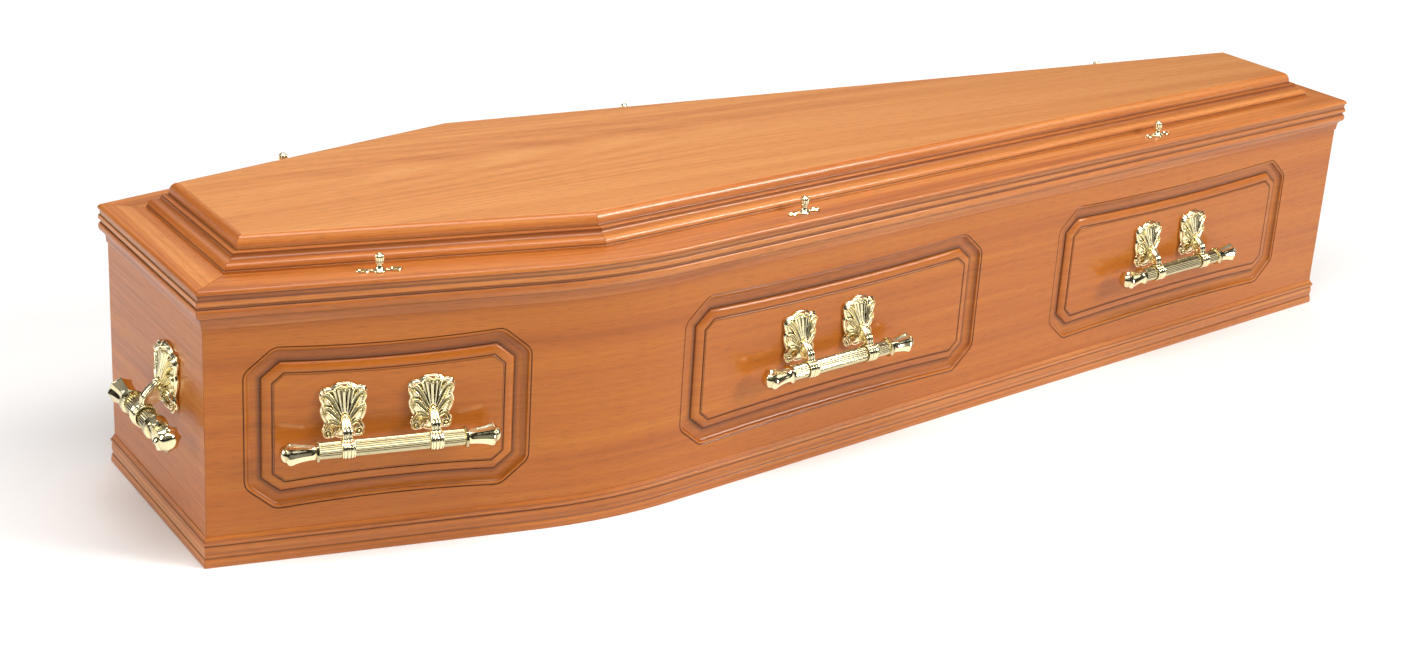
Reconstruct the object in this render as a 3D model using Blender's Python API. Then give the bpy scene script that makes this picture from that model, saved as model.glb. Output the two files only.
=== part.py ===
"""A shouldered wooden coffin with a raised lid, routed side panels, handles and lid screws.

Metres, +Z up. The origin is under the middle of the box, on the surface it stands on.
The head end is at -X and the foot end at +X. The right side is at -Y, the left side at +Y.
Every outline follows the box wall: an offset is a distance outward from the wall's face.
"""
import math

import bmesh
import bpy
from mathutils import Vector

# The box, measured over its walls
LENGTH = 1.930
HEAD_WIDTH = 0.314
SHOULDER_WIDTH = 0.537
FOOT_WIDTH = 0.259
SHOULDER_FROM_HEAD = 0.483
SHOULDER_BEND = 0.100
BEND_STEPS = 5
BOX_HEIGHT = 0.330
WALL = 0.018
BASE_THICKNESS = 0.018

# Clearances: between pieces that touch, at mitres, and between the lid's skirt and the box
GAP = 0.0003
MITRE_GAP = 0.00025
SKIRT_CLEARANCE = 0.0005

# The plinth strip round the foot of the box
PLINTH_HEIGHT = 0.039
PLINTH_PROJECTION = 0.0045
PLINTH_HOLLOW = 0.0018
PLINTH_ROUND = 0.0015

# The lid board and its edge: a rounded nose, a recessed band and a groove over the skirt
LID_THICKNESS = 0.021
OVERHANG = 0.009
NOSE_HEIGHT = 0.0060
NOSE_ROUND = 0.0045
BAND_HEIGHT = 0.0070
BAND_RECESS = 0.0010
BAND_SLOPE = 0.0006
JOINT_GROOVE = 0.0022

# The skirt that hangs from the lid board outside the walls
SKIRT_HEIGHT = 0.0285

# The raised frame on the lid board and the panel let into it
RAISED_MARGIN = 0.048
LIP_HEIGHT = 0.0025
LEDGE_INSET = 0.0162
LEDGE_HEIGHT = 0.020
LEDGE_WIDTH = 0.0063
TOP_INSET = 0.0317
TOP_HEIGHT = 0.036
FRAME_WIDTH = 0.046
RAISED_PANEL_THICKNESS = 0.009
FRAME_RIM = 0.001

# The panels routed into each side: height, chamfers, bow of the long edges and channel
PANEL_FOOT = 0.0655
PANEL_HEIGHT = 0.208
HEAD_PANEL_START = 0.044
HEAD_PANEL_LENGTH = 0.3455
MIDDLE_PANEL_START = 0.107
FOOT_PANEL_START = 0.801
LONG_PANEL_LENGTH = 0.534
CHAMFER_ALONG = 0.036
CHAMFER_UP = 0.031
PANEL_BOW = 0.005
BOW_STEPS = 4
CHANNEL_WIDTH = 0.0365
CHANNEL_DEPTH = 0.006
CUTTER_OVERRUN = 0.004

# The handles: a bar held off the wall by shell-shaped brackets
BAR_RADIUS = 0.010
BAR_SIDES = 8
FLUTE_DEPTH = 0.0007
SIDE_BAR_LENGTH = 0.264
END_BAR_LENGTH = 0.180
BRACKET_SPACING = 0.105
STAND_OFF = 0.028
CAP_RADIUS = 0.0148
CAP_TIP_RADIUS = 0.0075
CAP_DOME = 0.012
CAP_LENGTH = 0.041
COLLAR_RADIUS = 0.0132
COLLAR_WIDTH = 0.0045
COLLAR_SLOPE = 0.0005
SLEEVE_WALL = 0.0018
SLEEVE_CLEARANCE = 0.0004
SLEEVE_WIDTH = 0.013
KNOT_HEIGHT = 0.175
KNOT_ABOVE_BAR = 0.026
SHELL_WIDTH = 0.058
SHELL_RISE = 0.048
SHELL_EDGE = 0.0048
SHELL_RELIEF = 0.0100
SHELL_FLUTE = 0.0022
SHELL_THINNEST = 0.0006
KNOT_RELIEF = 0.015
ARM_WIDTH = 0.011
ARM_THICKNESS = 0.008

# The end handles are of a larger pattern: times the size of the side ones. The one on the
# head end sits towards the right side.
END_HANDLE_SCALE = 1.18
END_KNOT_HEIGHT = 0.190
HEAD_HANDLE_Y = -0.050

# How far each side handle sits from the middle of its panel, towards the head
HEAD_HANDLE_SHIFT = 0.00425
MIDDLE_HANDLE_SHIFT = 0.021
FOOT_HANDLE_SHIFT = 0.012

# The lid screws on the margin of the lid board, which aren't opposite each other
RIGHT_SCREWS_FROM_HEAD = (0.200, 0.789, 1.493)
LEFT_SCREWS_FROM_HEAD = (0.247, 0.791, 1.649)
PLATE_LENGTH = 0.055
PLATE_WIDTH = 0.0095
PLATE_WAIST = 0.0055
PLATE_THICKNESS = 0.0024
BOSS_RADIUS = 0.0082
NECK_RADIUS = 0.0034
NECK_HEIGHT = 0.0095
KNOB_RADIUS = 0.0058
KNOB_TOP = 0.023
SCREW_SIDES = 8

# Levels that the pieces share
LID_TOP = BOX_HEIGHT + LID_THICKNESS
BAR_HEIGHT = KNOT_HEIGHT - KNOT_ABOVE_BAR

# The shell's outline from its knot: angle from straight up, distance as a share of its rise
SHELL_OUTLINE = (
    (0, 1.00), (15, 0.96), (27, 0.89), (38, 0.96), (50, 0.86), (60, 0.69),
    (92, 0.56), (112, 0.48), (134, 0.70), (158, 0.48), (180, 0.40),
)
# Half the angle of the shell's fan, whose valleys are at every second ray of the outline
FAN_ANGLE = 50

WOOD = ("lacquered_mahogany", (0.48, 0.17, 0.05), 0.35, 0.0)
WOOD_INSIDE = ("bare_board", (0.50, 0.30, 0.15), 0.75, 0.0)
METAL = ("plated_pale_gold", (0.83, 0.74, 0.45), 0.18, 1.0)


def clear_scene():
    for old in list(bpy.data.objects):
        bpy.data.objects.remove(old, do_unlink=True)


def new_collection(name):
    collection = bpy.data.collections.new(name)
    bpy.context.scene.collection.children.link(collection)
    return collection


def material(spec):
    name, colour, roughness, metallic = spec
    made = bpy.data.materials.get(name)
    if made is None:
        made = bpy.data.materials.new(name)
        made.use_nodes = True
        shader = made.node_tree.nodes["Principled BSDF"]
        shader.inputs["Base Color"].default_value = (*colour, 1.0)
        shader.inputs["Roughness"].default_value = roughness
        shader.inputs["Metallic"].default_value = metallic
    return made


def loft_mesh(name, sections, closed=False):
    """Joins closed sections of equally many points: the ends are capped, or joined if closed."""
    bm = bmesh.new()
    rings = [[bm.verts.new(point) for point in section] for section in sections]
    count = len(rings[0])
    pairs = list(zip(rings, rings[1:]))
    if closed:
        pairs.append((rings[-1], rings[0]))
    else:
        bm.faces.new(rings[0])
        bm.faces.new(list(reversed(rings[-1])))
    for first, second in pairs:
        for j in range(count):
            k = (j + 1) % count
            bm.faces.new((first[j], second[j], second[k], first[k]))
    bmesh.ops.recalc_face_normals(bm, faces=bm.faces)
    mesh = bpy.data.meshes.new(name)
    bm.to_mesh(mesh)
    bm.free()
    return mesh


def add_object(name, mesh, collection, spec):
    made = bpy.data.objects.new(name, mesh)
    if not mesh.materials:
        mesh.materials.append(material(spec))
    collection.objects.link(made)
    return made


def add_cutter(name, mesh, collection, spec):
    made = add_object(name, mesh, collection, spec)
    made.hide_render = True
    made.display_type = "WIRE"
    return made


def boolean(target, other, operation):
    step = target.modifiers.new(other.name, "BOOLEAN")
    step.operation = operation
    step.solver = "EXACT"
    step.object = other


# The outline of the box

def direction(start, end):
    return (end - start).normalized()


def outward(along):
    """The normal on the right-hand side of a wall that runs from head to foot."""
    return Vector((along.y, -along.x))


def mitre(first, second):
    """The vector that moves a corner by one unit away from both of its walls."""
    return (first + second) / (1.0 + first.dot(second))


HEAD_CORNER = Vector((-LENGTH / 2, -HEAD_WIDTH / 2))
SHOULDER = Vector((-LENGTH / 2 + SHOULDER_FROM_HEAD, -SHOULDER_WIDTH / 2))
FOOT_CORNER = Vector((LENGTH / 2, -FOOT_WIDTH / 2))
ALONG_HEAD = direction(HEAD_CORNER, SHOULDER)
ALONG_FOOT = direction(SHOULDER, FOOT_CORNER)
OUT_HEAD = outward(ALONG_HEAD)
OUT_FOOT = outward(ALONG_FOOT)
HEADWARD = Vector((-1.0, 0.0))
FOOTWARD = Vector((1.0, 0.0))


def bend_stations():
    """The rounded shoulder: an arc that touches both straight walls."""
    turn = OUT_HEAD.angle(OUT_FOOT)
    radius = SHOULDER_BEND / math.tan(turn / 2)
    centre = SHOULDER - ALONG_HEAD * SHOULDER_BEND - OUT_HEAD * radius
    stations = []
    for k in range(BEND_STEPS + 1):
        share = k / BEND_STEPS
        normal = OUT_HEAD.slerp(OUT_FOOT, share).normalized()
        stations.append((centre + normal * radius, normal))
    return stations


def side_stations(sharp=False, gap=0.0):
    """Points of the right side from head to foot, each with the vector that offsets it."""
    head = (HEAD_CORNER + ALONG_HEAD * gap, mitre(HEADWARD, OUT_HEAD))
    foot = (FOOT_CORNER - ALONG_FOOT * gap, mitre(OUT_FOOT, FOOTWARD))
    middle = [(SHOULDER, mitre(OUT_HEAD, OUT_FOOT))] if sharp else bend_stations()
    return [head] + middle + [foot]


def mirrored(stations):
    return [(Vector((p.x, -p.y)), Vector((m.x, -m.y))) for p, m in stations]


def ring_stations(sharp=False):
    side = side_stations(sharp)
    return side + list(reversed(mirrored(side)))


def end_stations(at_head, gap=0.0):
    """The two corners of an end, drawn in from the mitres by the gap."""
    side = side_stations(sharp=True)
    point, offset = side[0] if at_head else side[-1]
    right = (point + Vector((0.0, gap)), offset)
    return [right] + mirrored([right])


def at(station, offset, z):
    point, vector = station
    moved = point + vector * offset
    return (moved.x, moved.y, z)


def run(stations, profile):
    """A section of (offset, height) points carried along the stations."""
    return [[at(station, offset, z) for offset, z in profile] for station in stations]


def stack(stations, levels):
    """Whole outlines, one above another."""
    return [[at(station, offset, z) for station in stations] for offset, z in levels]


# Profiles, as (offset, height) points

def wall_profile():
    top = BOX_HEIGHT - GAP
    return [(0.0, 0.0), (0.0, top), (-WALL, top), (-WALL, 0.0)]


def plinth_profile():
    """Small rounded foot, shallow hollow, bead and a bevel back to the wall."""
    out = PLINTH_PROJECTION
    high = PLINTH_HEIGHT
    hollow = out - PLINTH_HOLLOW
    return [
        (GAP, 0.0), (out - PLINTH_ROUND, 0.0), (out, PLINTH_ROUND), (out, 0.13 * high),
        (hollow, 0.30 * high), (hollow + 0.5 * PLINTH_HOLLOW, 0.50 * high), (hollow, 0.72 * high),
        (out, 0.80 * high), (0.87 * out, 0.90 * high), (2 * GAP, high), (GAP, high),
    ]


def skirt_profile():
    """A bead under the lid board, then a cove that curves back to the wall."""
    top = BOX_HEIGHT - GAP
    deep = SKIRT_HEIGHT - GAP
    inner = SKIRT_CLEARANCE
    out = OVERHANG
    groove = OVERHANG - JOINT_GROOVE
    return [
        (inner, top), (groove, top), (groove, top - JOINT_GROOVE),
        (0.97 * out, top - 0.14 * deep), (out, top - 0.28 * deep), (0.89 * out, top - 0.44 * deep),
        (0.62 * out, top - 0.58 * deep), (0.32 * out, top - 0.76 * deep),
        (0.16 * out, top - deep), (inner, top - deep),
    ]


def lid_levels():
    """From the underside up: a convex band, a recessed band and a rounded nose."""
    out = OVERHANG
    top = LID_TOP
    back = OVERHANG - BAND_RECESS
    band_top = LID_TOP - NOSE_HEIGHT
    band_low = band_top - BAND_HEIGHT
    return [
        (out - JOINT_GROOVE, BOX_HEIGHT), (out - 0.2 * JOINT_GROOVE, BOX_HEIGHT + 0.7 * JOINT_GROOVE),
        (out, band_low - BAND_SLOPE), (back, band_low),
        (back, band_top - BAND_SLOPE), (out, band_top), (out, top - NOSE_ROUND),
        (out - 0.29 * NOSE_ROUND, top - 0.29 * NOSE_ROUND), (out - NOSE_ROUND, top),
    ]


def raised_profile():
    """Lip, ogee, flat ledge and ovolo, with a rebate inside that holds the raised panel."""
    base = OVERHANG - RAISED_MARGIN
    ogee = LEDGE_INSET
    rise = LEDGE_HEIGHT
    riser = LEDGE_INSET + LEDGE_WIDTH
    round_in = TOP_INSET - riser
    round_up = TOP_HEIGHT - rise
    shelf = TOP_HEIGHT - RAISED_PANEL_THICKNESS
    inset_height = [
        (0.0, GAP), (0.0, LIP_HEIGHT), (0.09 * ogee, 0.33 * rise), (0.28 * ogee, 0.53 * rise),
        (0.56 * ogee, 0.68 * rise), (0.83 * ogee, 0.78 * rise), (0.96 * ogee, 0.92 * rise),
        (ogee, rise), (riser, rise), (riser + 0.1 * round_in, rise + 0.28 * round_up),
        (riser + 0.3 * round_in, rise + 0.60 * round_up),
        (riser + 0.62 * round_in, rise + 0.87 * round_up), (TOP_INSET, TOP_HEIGHT),
        (TOP_INSET + FRAME_RIM, TOP_HEIGHT), (TOP_INSET + FRAME_RIM, shelf),
        (FRAME_WIDTH, shelf), (FRAME_WIDTH, GAP),
    ]
    return [(base - inset, LID_TOP + height) for inset, height in inset_height]


# The boards

def build_box(parts, cutters):
    base = stack(ring_stations(), [(-WALL - GAP, 0.0), (-WALL - GAP, BASE_THICKNESS)])
    add_object("base_board", loft_mesh("base_board", base), parts, WOOD_INSIDE)
    side = side_stations(gap=MITRE_GAP)
    right = add_object("right_side", loft_mesh("right_side", run(side, wall_profile())), parts, WOOD)
    left_run = run(mirrored(side), wall_profile())
    left = add_object("left_side", loft_mesh("left_side", left_run), parts, WOOD)
    for name, at_head in (("head_end", True), ("foot_end", False)):
        ends = run(end_stations(at_head, MITRE_GAP), wall_profile())
        add_object(name, loft_mesh(name, ends), parts, WOOD)
    route_panels(right, left, cutters)


def build_plinth(parts):
    side = side_stations(gap=MITRE_GAP)
    pieces = {
        "plinth_right": side, "plinth_left": mirrored(side),
        "plinth_head": end_stations(True, MITRE_GAP), "plinth_foot": end_stations(False, MITRE_GAP),
    }
    for name, stations in pieces.items():
        add_object(name, loft_mesh(name, run(stations, plinth_profile())), parts, WOOD)


def build_lid(parts):
    board = stack(ring_stations(), lid_levels())
    add_object("lid_board", loft_mesh("lid_board", board), parts, WOOD)
    side = side_stations(gap=MITRE_GAP)
    skirts = {
        "lid_skirt_right": side, "lid_skirt_left": mirrored(side),
        "lid_skirt_head": end_stations(True, MITRE_GAP),
        "lid_skirt_foot": end_stations(False, MITRE_GAP),
    }
    for name, stations in skirts.items():
        add_object(name, loft_mesh(name, run(stations, skirt_profile())), parts, WOOD)


def build_raised_lid(parts):
    """Six mitred mouldings, sharp at the shoulders, and the flush panel in their rebate."""
    head, shoulder, foot = side_stations(sharp=True)
    near_head = (head[0] + ALONG_HEAD * MITRE_GAP, head[1])
    before = (shoulder[0] - ALONG_HEAD * MITRE_GAP, shoulder[1])
    after = (shoulder[0] + ALONG_FOOT * MITRE_GAP, shoulder[1])
    near_foot = (foot[0] - ALONG_FOOT * MITRE_GAP, foot[1])
    pieces = {
        "lid_frame_right_head": [near_head, before],
        "lid_frame_right_foot": [after, near_foot],
        "lid_frame_left_head": mirrored([near_head, before]),
        "lid_frame_left_foot": mirrored([after, near_foot]),
        "lid_frame_head": end_stations(True, MITRE_GAP),
        "lid_frame_foot": end_stations(False, MITRE_GAP),
    }
    for name, stations in pieces.items():
        add_object(name, loft_mesh(name, run(stations, raised_profile())), parts, WOOD)
    edge = OVERHANG - RAISED_MARGIN - TOP_INSET - FRAME_RIM - GAP
    low = LID_TOP + TOP_HEIGHT - RAISED_PANEL_THICKNESS + GAP
    levels = [(edge, low), (edge, LID_TOP + TOP_HEIGHT)]
    panel = stack(ring_stations(sharp=True), levels)
    add_object("raised_panel", loft_mesh("raised_panel", panel), parts, WOOD)


# The routed panels

def panel_outline(start, length):
    """An octagon in (along, up) whose two long edges bow towards the middle of the panel."""
    end = start + length
    low = PANEL_FOOT
    high = PANEL_FOOT + PANEL_HEIGHT
    left = start + CHAMFER_ALONG
    right = end - CHAMFER_ALONG
    bottom = []
    top = []
    for k in range(BOW_STEPS + 1):
        share = k / BOW_STEPS
        bow = PANEL_BOW * 4 * share * (1 - share)
        bottom.append(Vector((left + (right - left) * share, low + bow)))
        top.append(Vector((right - (right - left) * share, high - bow)))
    right_edge = [Vector((end, low + CHAMFER_UP)), Vector((end, high - CHAMFER_UP))]
    left_edge = [Vector((start, high - CHAMFER_UP)), Vector((start, low + CHAMFER_UP))]
    return bottom + right_edge + top + left_edge


def channel_profile():
    """Across the channel, as (inset, height over the wall's face): bead, cove, floor and bevel."""
    deep = CHANNEL_DEPTH
    wide = CHANNEL_WIDTH
    return [
        (0.0, CUTTER_OVERRUN), (0.0, 0.0), (0.12 * wide, -0.25 * deep), (0.25 * wide, -deep),
        (0.66 * wide, -deep), (0.76 * wide, -0.45 * deep), (0.93 * wide, -0.25 * deep),
        (wide, 0.0), (wide, CUTTER_OVERRUN),
    ]


def channel_mesh(name, start, length, corner, along, out, flip):
    outline = panel_outline(start, length)
    sections = []
    for i, point in enumerate(outline):
        before = direction(outline[i - 1], point)
        after = direction(point, outline[(i + 1) % len(outline)])
        inward = mitre(Vector((-before.y, before.x)), Vector((-after.y, after.x)))
        section = []
        for inset, height in channel_profile():
            spot = point + inward * inset
            place = corner + along * spot.x + out * height
            section.append((place.x, place.y * flip, spot.y))
        sections.append(section)
    return loft_mesh(name, sections, closed=True)


def route_panels(right, left, cutters):
    layout = (
        ("head", HEAD_PANEL_START, HEAD_PANEL_LENGTH, HEAD_CORNER, ALONG_HEAD, OUT_HEAD),
        ("middle", MIDDLE_PANEL_START, LONG_PANEL_LENGTH, SHOULDER, ALONG_FOOT, OUT_FOOT),
        ("foot", FOOT_PANEL_START, LONG_PANEL_LENGTH, SHOULDER, ALONG_FOOT, OUT_FOOT),
    )
    for side, target, flip in (("right", right, 1), ("left", left, -1)):
        for which, start, length, corner, along, out in layout:
            name = f"channel_{side}_{which}"
            mesh = channel_mesh(name, start, length, corner, along, out, flip)
            boolean(target, add_cutter(name, mesh, cutters, WOOD), "DIFFERENCE")


# The handles, each modelled about a point on the wall: X along it, Y out of it, Z up

def bar_mesh(name, length):
    """A fluted bar with a collar and a flared cap at each end."""
    bar_end = CAP_LENGTH + COLLAR_WIDTH
    half = [
        (0.0, CAP_TIP_RADIUS, 0.0), (CAP_DOME, CAP_RADIUS, 0.0),
        (0.78 * CAP_LENGTH, BAR_RADIUS, FLUTE_DEPTH), (CAP_LENGTH, COLLAR_RADIUS, 0.0),
        (bar_end, COLLAR_RADIUS, 0.0), (bar_end + COLLAR_SLOPE, BAR_RADIUS, FLUTE_DEPTH),
    ]
    stations = [(-length / 2 + x, r, flute) for x, r, flute in half]
    stations += [(-x, r, flute) for x, r, flute in reversed(stations)]
    sections = []
    for x, radius, flute in stations:
        section = []
        for k in range(BAR_SIDES):
            angle = 2 * math.pi * k / BAR_SIDES
            r = radius - flute * (k % 2)
            section.append((x, STAND_OFF + r * math.cos(angle), BAR_HEIGHT + r * math.sin(angle)))
        sections.append(section)
    return loft_mesh(name, sections)


def shell_mesh(name):
    """The back plate: a fan of flutes over two scrolls, swelling towards its knot."""
    half_width = max(r * math.sin(math.radians(a)) for a, r in SHELL_OUTLINE) * SHELL_RISE
    squeeze = SHELL_WIDTH / 2 / half_width
    right = list(SHELL_OUTLINE)
    rays = right + [(-a, r) for a, r in reversed(right[1:-1])]
    rings = []
    for share, relief in ((1.0, 0.0), (1.0, SHELL_EDGE), (0.62, SHELL_RELIEF), (0.16, KNOT_RELIEF)):
        ring = []
        for k, (angle, reach) in enumerate(rays):
            turn = math.radians(angle)
            height = relief
            if relief and abs(angle) < FAN_ANGLE and k % 2:
                height = max(relief - SHELL_FLUTE, SHELL_THINNEST)
            across = math.sin(turn) * reach * SHELL_RISE * share * squeeze
            up = KNOT_HEIGHT + math.cos(turn) * reach * SHELL_RISE * share
            ring.append((across, GAP + height, up))
        rings.append(ring)
    return loft_mesh(name, rings)


def arm_mesh(name):
    """The curved arm from the knot down to the sleeve round the bar."""
    sleeve = BAR_RADIUS + SLEEVE_CLEARANCE + SLEEVE_WALL
    path = [
        (0.5 * ARM_THICKNESS, 0.5 * ARM_THICKNESS, 0.8), (0.55 * STAND_OFF, 0.12 * ARM_THICKNESS, 1.0),
        (0.86 * STAND_OFF, -0.30 * KNOT_ABOVE_BAR, 1.0),
        (STAND_OFF, -KNOT_ABOVE_BAR + sleeve - 0.5 * SLEEVE_WALL, 0.9),
    ]
    sections = []
    for i, (out, up, size) in enumerate(path):
        before = path[max(i - 1, 0)]
        after = path[min(i + 1, len(path) - 1)]
        along = Vector((after[0] - before[0], after[1] - before[1])).normalized()
        normal = Vector((along.y, -along.x))
        section = []
        for k in range(6):
            angle = math.pi * (k + 0.5) / 3
            across = math.sin(angle) * ARM_WIDTH / 2 * size
            thick = math.cos(angle) * ARM_THICKNESS / 2 * size
            section.append((across, out - normal.x * thick, KNOT_HEIGHT + up - normal.y * thick))
        sections.append(section)
    return loft_mesh(name, sections)


def sleeve_mesh(name):
    inner = BAR_RADIUS + SLEEVE_CLEARANCE
    outer = inner + SLEEVE_WALL
    half = SLEEVE_WIDTH / 2
    sections = []
    for k in range(BAR_SIDES):
        angle = 2 * math.pi * k / BAR_SIDES
        section = []
        for x, r in ((-half, inner), (-half, outer), (half, outer), (half, inner)):
            section.append((x, STAND_OFF + r * math.cos(angle), BAR_HEIGHT + r * math.sin(angle)))
        sections.append(section)
    return loft_mesh(name, sections, closed=True)


def bracket_mesh(cutters):
    """Shell, arm and sleeve are cast as one, so they are united once and shared by all."""
    shell = add_cutter("bracket_shell", shell_mesh("bracket_shell"), cutters, METAL)
    added = {"bracket_arm": arm_mesh("bracket_arm"), "bracket_sleeve": sleeve_mesh("bracket_sleeve")}
    for name, mesh in added.items():
        boolean(shell, add_cutter(name, mesh, cutters, METAL), "UNION")
    bpy.context.view_layer.update()
    evaluated = shell.evaluated_get(bpy.context.evaluated_depsgraph_get())
    mesh = bpy.data.meshes.new_from_object(evaluated)
    mesh.name = "bracket"
    return mesh


def place_on_wall(made, corner, along, distance, flip=1):
    """Stands a handle piece on a wall: its X runs along the wall and its Y points out."""
    spot = corner + along * distance
    made.location = (spot.x, spot.y * flip, 0.0)
    angle = math.atan2(along.y, along.x) + math.pi
    made.rotation_euler = (0.0, 0.0, angle if flip == 1 else math.pi - angle)


def enlarged(mesh, name):
    """A copy of a handle piece at the size of the end handles, with its knot at their height."""
    larger = mesh.copy()
    larger.name = name
    for vertex in larger.vertices:
        x, y, z = vertex.co * END_HANDLE_SCALE
        vertex.co = (x, y, z + END_KNOT_HEIGHT - KNOT_HEIGHT * END_HANDLE_SCALE)
    return larger


def build_handles(parts, cutters):
    side_bar = bar_mesh("side_bar", SIDE_BAR_LENGTH)
    end_bar = enlarged(bar_mesh("short_bar", END_BAR_LENGTH / END_HANDLE_SCALE), "end_bar")
    bracket = bracket_mesh(cutters)
    end_bracket = enlarged(bracket, "end_bracket")
    head_at = HEAD_PANEL_START + HEAD_PANEL_LENGTH / 2 - HEAD_HANDLE_SHIFT
    middle_at = MIDDLE_PANEL_START + LONG_PANEL_LENGTH / 2 - MIDDLE_HANDLE_SHIFT
    foot_at = FOOT_PANEL_START + LONG_PANEL_LENGTH / 2 - FOOT_HANDLE_SHIFT
    layout = (
        ("head", HEAD_CORNER, ALONG_HEAD, head_at),
        ("middle", SHOULDER, ALONG_FOOT, middle_at),
        ("foot", SHOULDER, ALONG_FOOT, foot_at),
    )
    for side, flip in (("right", 1), ("left", -1)):
        for which, corner, along, distance in layout:
            bar = add_object(f"handle_bar_{side}_{which}", side_bar, parts, METAL)
            place_on_wall(bar, corner, along, distance, flip)
            for letter, shift in (("a", -BRACKET_SPACING / 2), ("b", BRACKET_SPACING / 2)):
                held = add_object(f"bracket_{side}_{which}_{letter}", bracket, parts, METAL)
                place_on_wall(held, corner, along, distance + shift, flip)
    ends = (("head", -LENGTH / 2, HEAD_HANDLE_Y, math.pi / 2), ("foot", LENGTH / 2, 0.0, -math.pi / 2))
    for which, x, y, angle in ends:
        for name, mesh in (("handle_bar", end_bar), ("bracket", end_bracket)):
            made = add_object(f"{name}_{which}_end", mesh, parts, METAL)
            made.location = (x, y, 0.0)
            made.rotation_euler = (0.0, 0.0, angle)


# The lid screws: X along the edge of the lid, standing on its top

def plate_mesh(name):
    """A plate with a leaf at each end and a waist each side of the screw."""
    half = PLATE_LENGTH / 2
    edge = [
        (half, 0.0), (0.78 * half, 0.40 * PLATE_WIDTH), (0.55 * half, 0.50 * PLATE_WIDTH),
        (0.34 * half, 0.50 * PLATE_WAIST), (0.12 * half, 0.55 * PLATE_WIDTH),
    ]
    upper = edge + [(-x, y) for x, y in reversed(edge[1:])] + [(-half, 0.0)]
    outline = upper + [(-x, -y) for x, y in upper[1:-1]]
    levels = ((1.0, LID_TOP + GAP), (0.86, LID_TOP + PLATE_THICKNESS))
    return loft_mesh(name, [[(x * size, y * size, z) for x, y in outline] for size, z in levels])


def knob_mesh(name):
    """The flared foot, thin neck and rounded knob of the screw."""
    knob_height = KNOB_TOP - NECK_HEIGHT
    profile = (
        (BOSS_RADIUS, 0.25 * PLATE_THICKNESS), (0.80 * BOSS_RADIUS, 1.5 * PLATE_THICKNESS),
        (NECK_RADIUS, NECK_HEIGHT), (KNOB_RADIUS, NECK_HEIGHT + 0.28 * knob_height),
        (0.95 * KNOB_RADIUS, NECK_HEIGHT + 0.75 * knob_height), (0.45 * KNOB_RADIUS, KNOB_TOP),
    )
    sections = []
    for radius, height in profile:
        turns = [2 * math.pi * (k + 0.5) / SCREW_SIDES for k in range(SCREW_SIDES)]
        sections.append([(radius * math.cos(t), radius * math.sin(t), LID_TOP + height) for t in turns])
    return loft_mesh(name, sections)


def build_screws(parts, cutters):
    plate = add_cutter("screw_plate", plate_mesh("screw_plate"), cutters, METAL)
    boolean(plate, add_cutter("screw_knob", knob_mesh("screw_knob"), cutters, METAL), "UNION")
    bpy.context.view_layer.update()
    evaluated = plate.evaluated_get(bpy.context.evaluated_depsgraph_get())
    screw = bpy.data.meshes.new_from_object(evaluated)
    screw.name = "lid_screw"
    inset = OVERHANG - RAISED_MARGIN / 2
    names = ("head", "middle", "foot")
    for side, flip, places in (("right", 1, RIGHT_SCREWS_FROM_HEAD), ("left", -1, LEFT_SCREWS_FROM_HEAD)):
        for which, from_head in zip(names, places):
            on_head_wall = from_head < SHOULDER_FROM_HEAD
            corner = HEAD_CORNER if on_head_wall else SHOULDER
            along = ALONG_HEAD if on_head_wall else ALONG_FOOT
            out = OUT_HEAD if on_head_wall else OUT_FOOT
            distance = (-LENGTH / 2 + from_head - corner.x) / along.x
            spot = corner + along * distance + out * inset
            made = add_object(f"lid_screw_{side}_{which}", screw, parts, METAL)
            made.location = (spot.x, spot.y * flip, 0.0)
            made.rotation_euler = (0.0, 0.0, math.atan2(along.y, along.x) * flip)


def main():
    clear_scene()
    parts = new_collection("wooden_coffin")
    cutters = new_collection("cutters")
    build_box(parts, cutters)
    build_plinth(parts)
    build_lid(parts)
    build_raised_lid(parts)
    build_handles(parts, cutters)
    build_screws(parts, cutters)


main()
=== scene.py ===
# %% [markdown]
# A shouldered wooden coffin, with a raised lid, routed panels, plated handles and lid screws.
# The solids come in first and stay where they are. Each step after that makes one piece finer
# than its solid, or gives a surface the finish that the real one has.

# %% Load the solids
import math

import bmesh
import bpy
from mathutils import Matrix, Vector


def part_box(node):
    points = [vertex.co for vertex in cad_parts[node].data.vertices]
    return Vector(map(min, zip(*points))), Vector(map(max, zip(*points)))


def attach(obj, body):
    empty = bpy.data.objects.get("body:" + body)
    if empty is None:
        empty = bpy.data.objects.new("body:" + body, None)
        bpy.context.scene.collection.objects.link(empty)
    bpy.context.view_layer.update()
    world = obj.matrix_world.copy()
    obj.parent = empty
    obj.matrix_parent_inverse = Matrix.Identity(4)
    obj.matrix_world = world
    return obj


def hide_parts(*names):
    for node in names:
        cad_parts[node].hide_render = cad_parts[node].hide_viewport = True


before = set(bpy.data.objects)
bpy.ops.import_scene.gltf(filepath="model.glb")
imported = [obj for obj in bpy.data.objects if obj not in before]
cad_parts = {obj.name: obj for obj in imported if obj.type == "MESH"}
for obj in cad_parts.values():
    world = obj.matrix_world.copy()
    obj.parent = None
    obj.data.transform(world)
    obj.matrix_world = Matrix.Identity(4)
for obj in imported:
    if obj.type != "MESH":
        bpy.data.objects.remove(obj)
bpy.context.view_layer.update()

# %% [markdown]
# The box tapers both ways from its shoulders, so nearly every piece follows the same outline.
# Its sizes are read from the solids where a solid shows them. The sharp shoulder can't be read,
# because the wall is bent round it, so its two sizes are stated.

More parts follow.
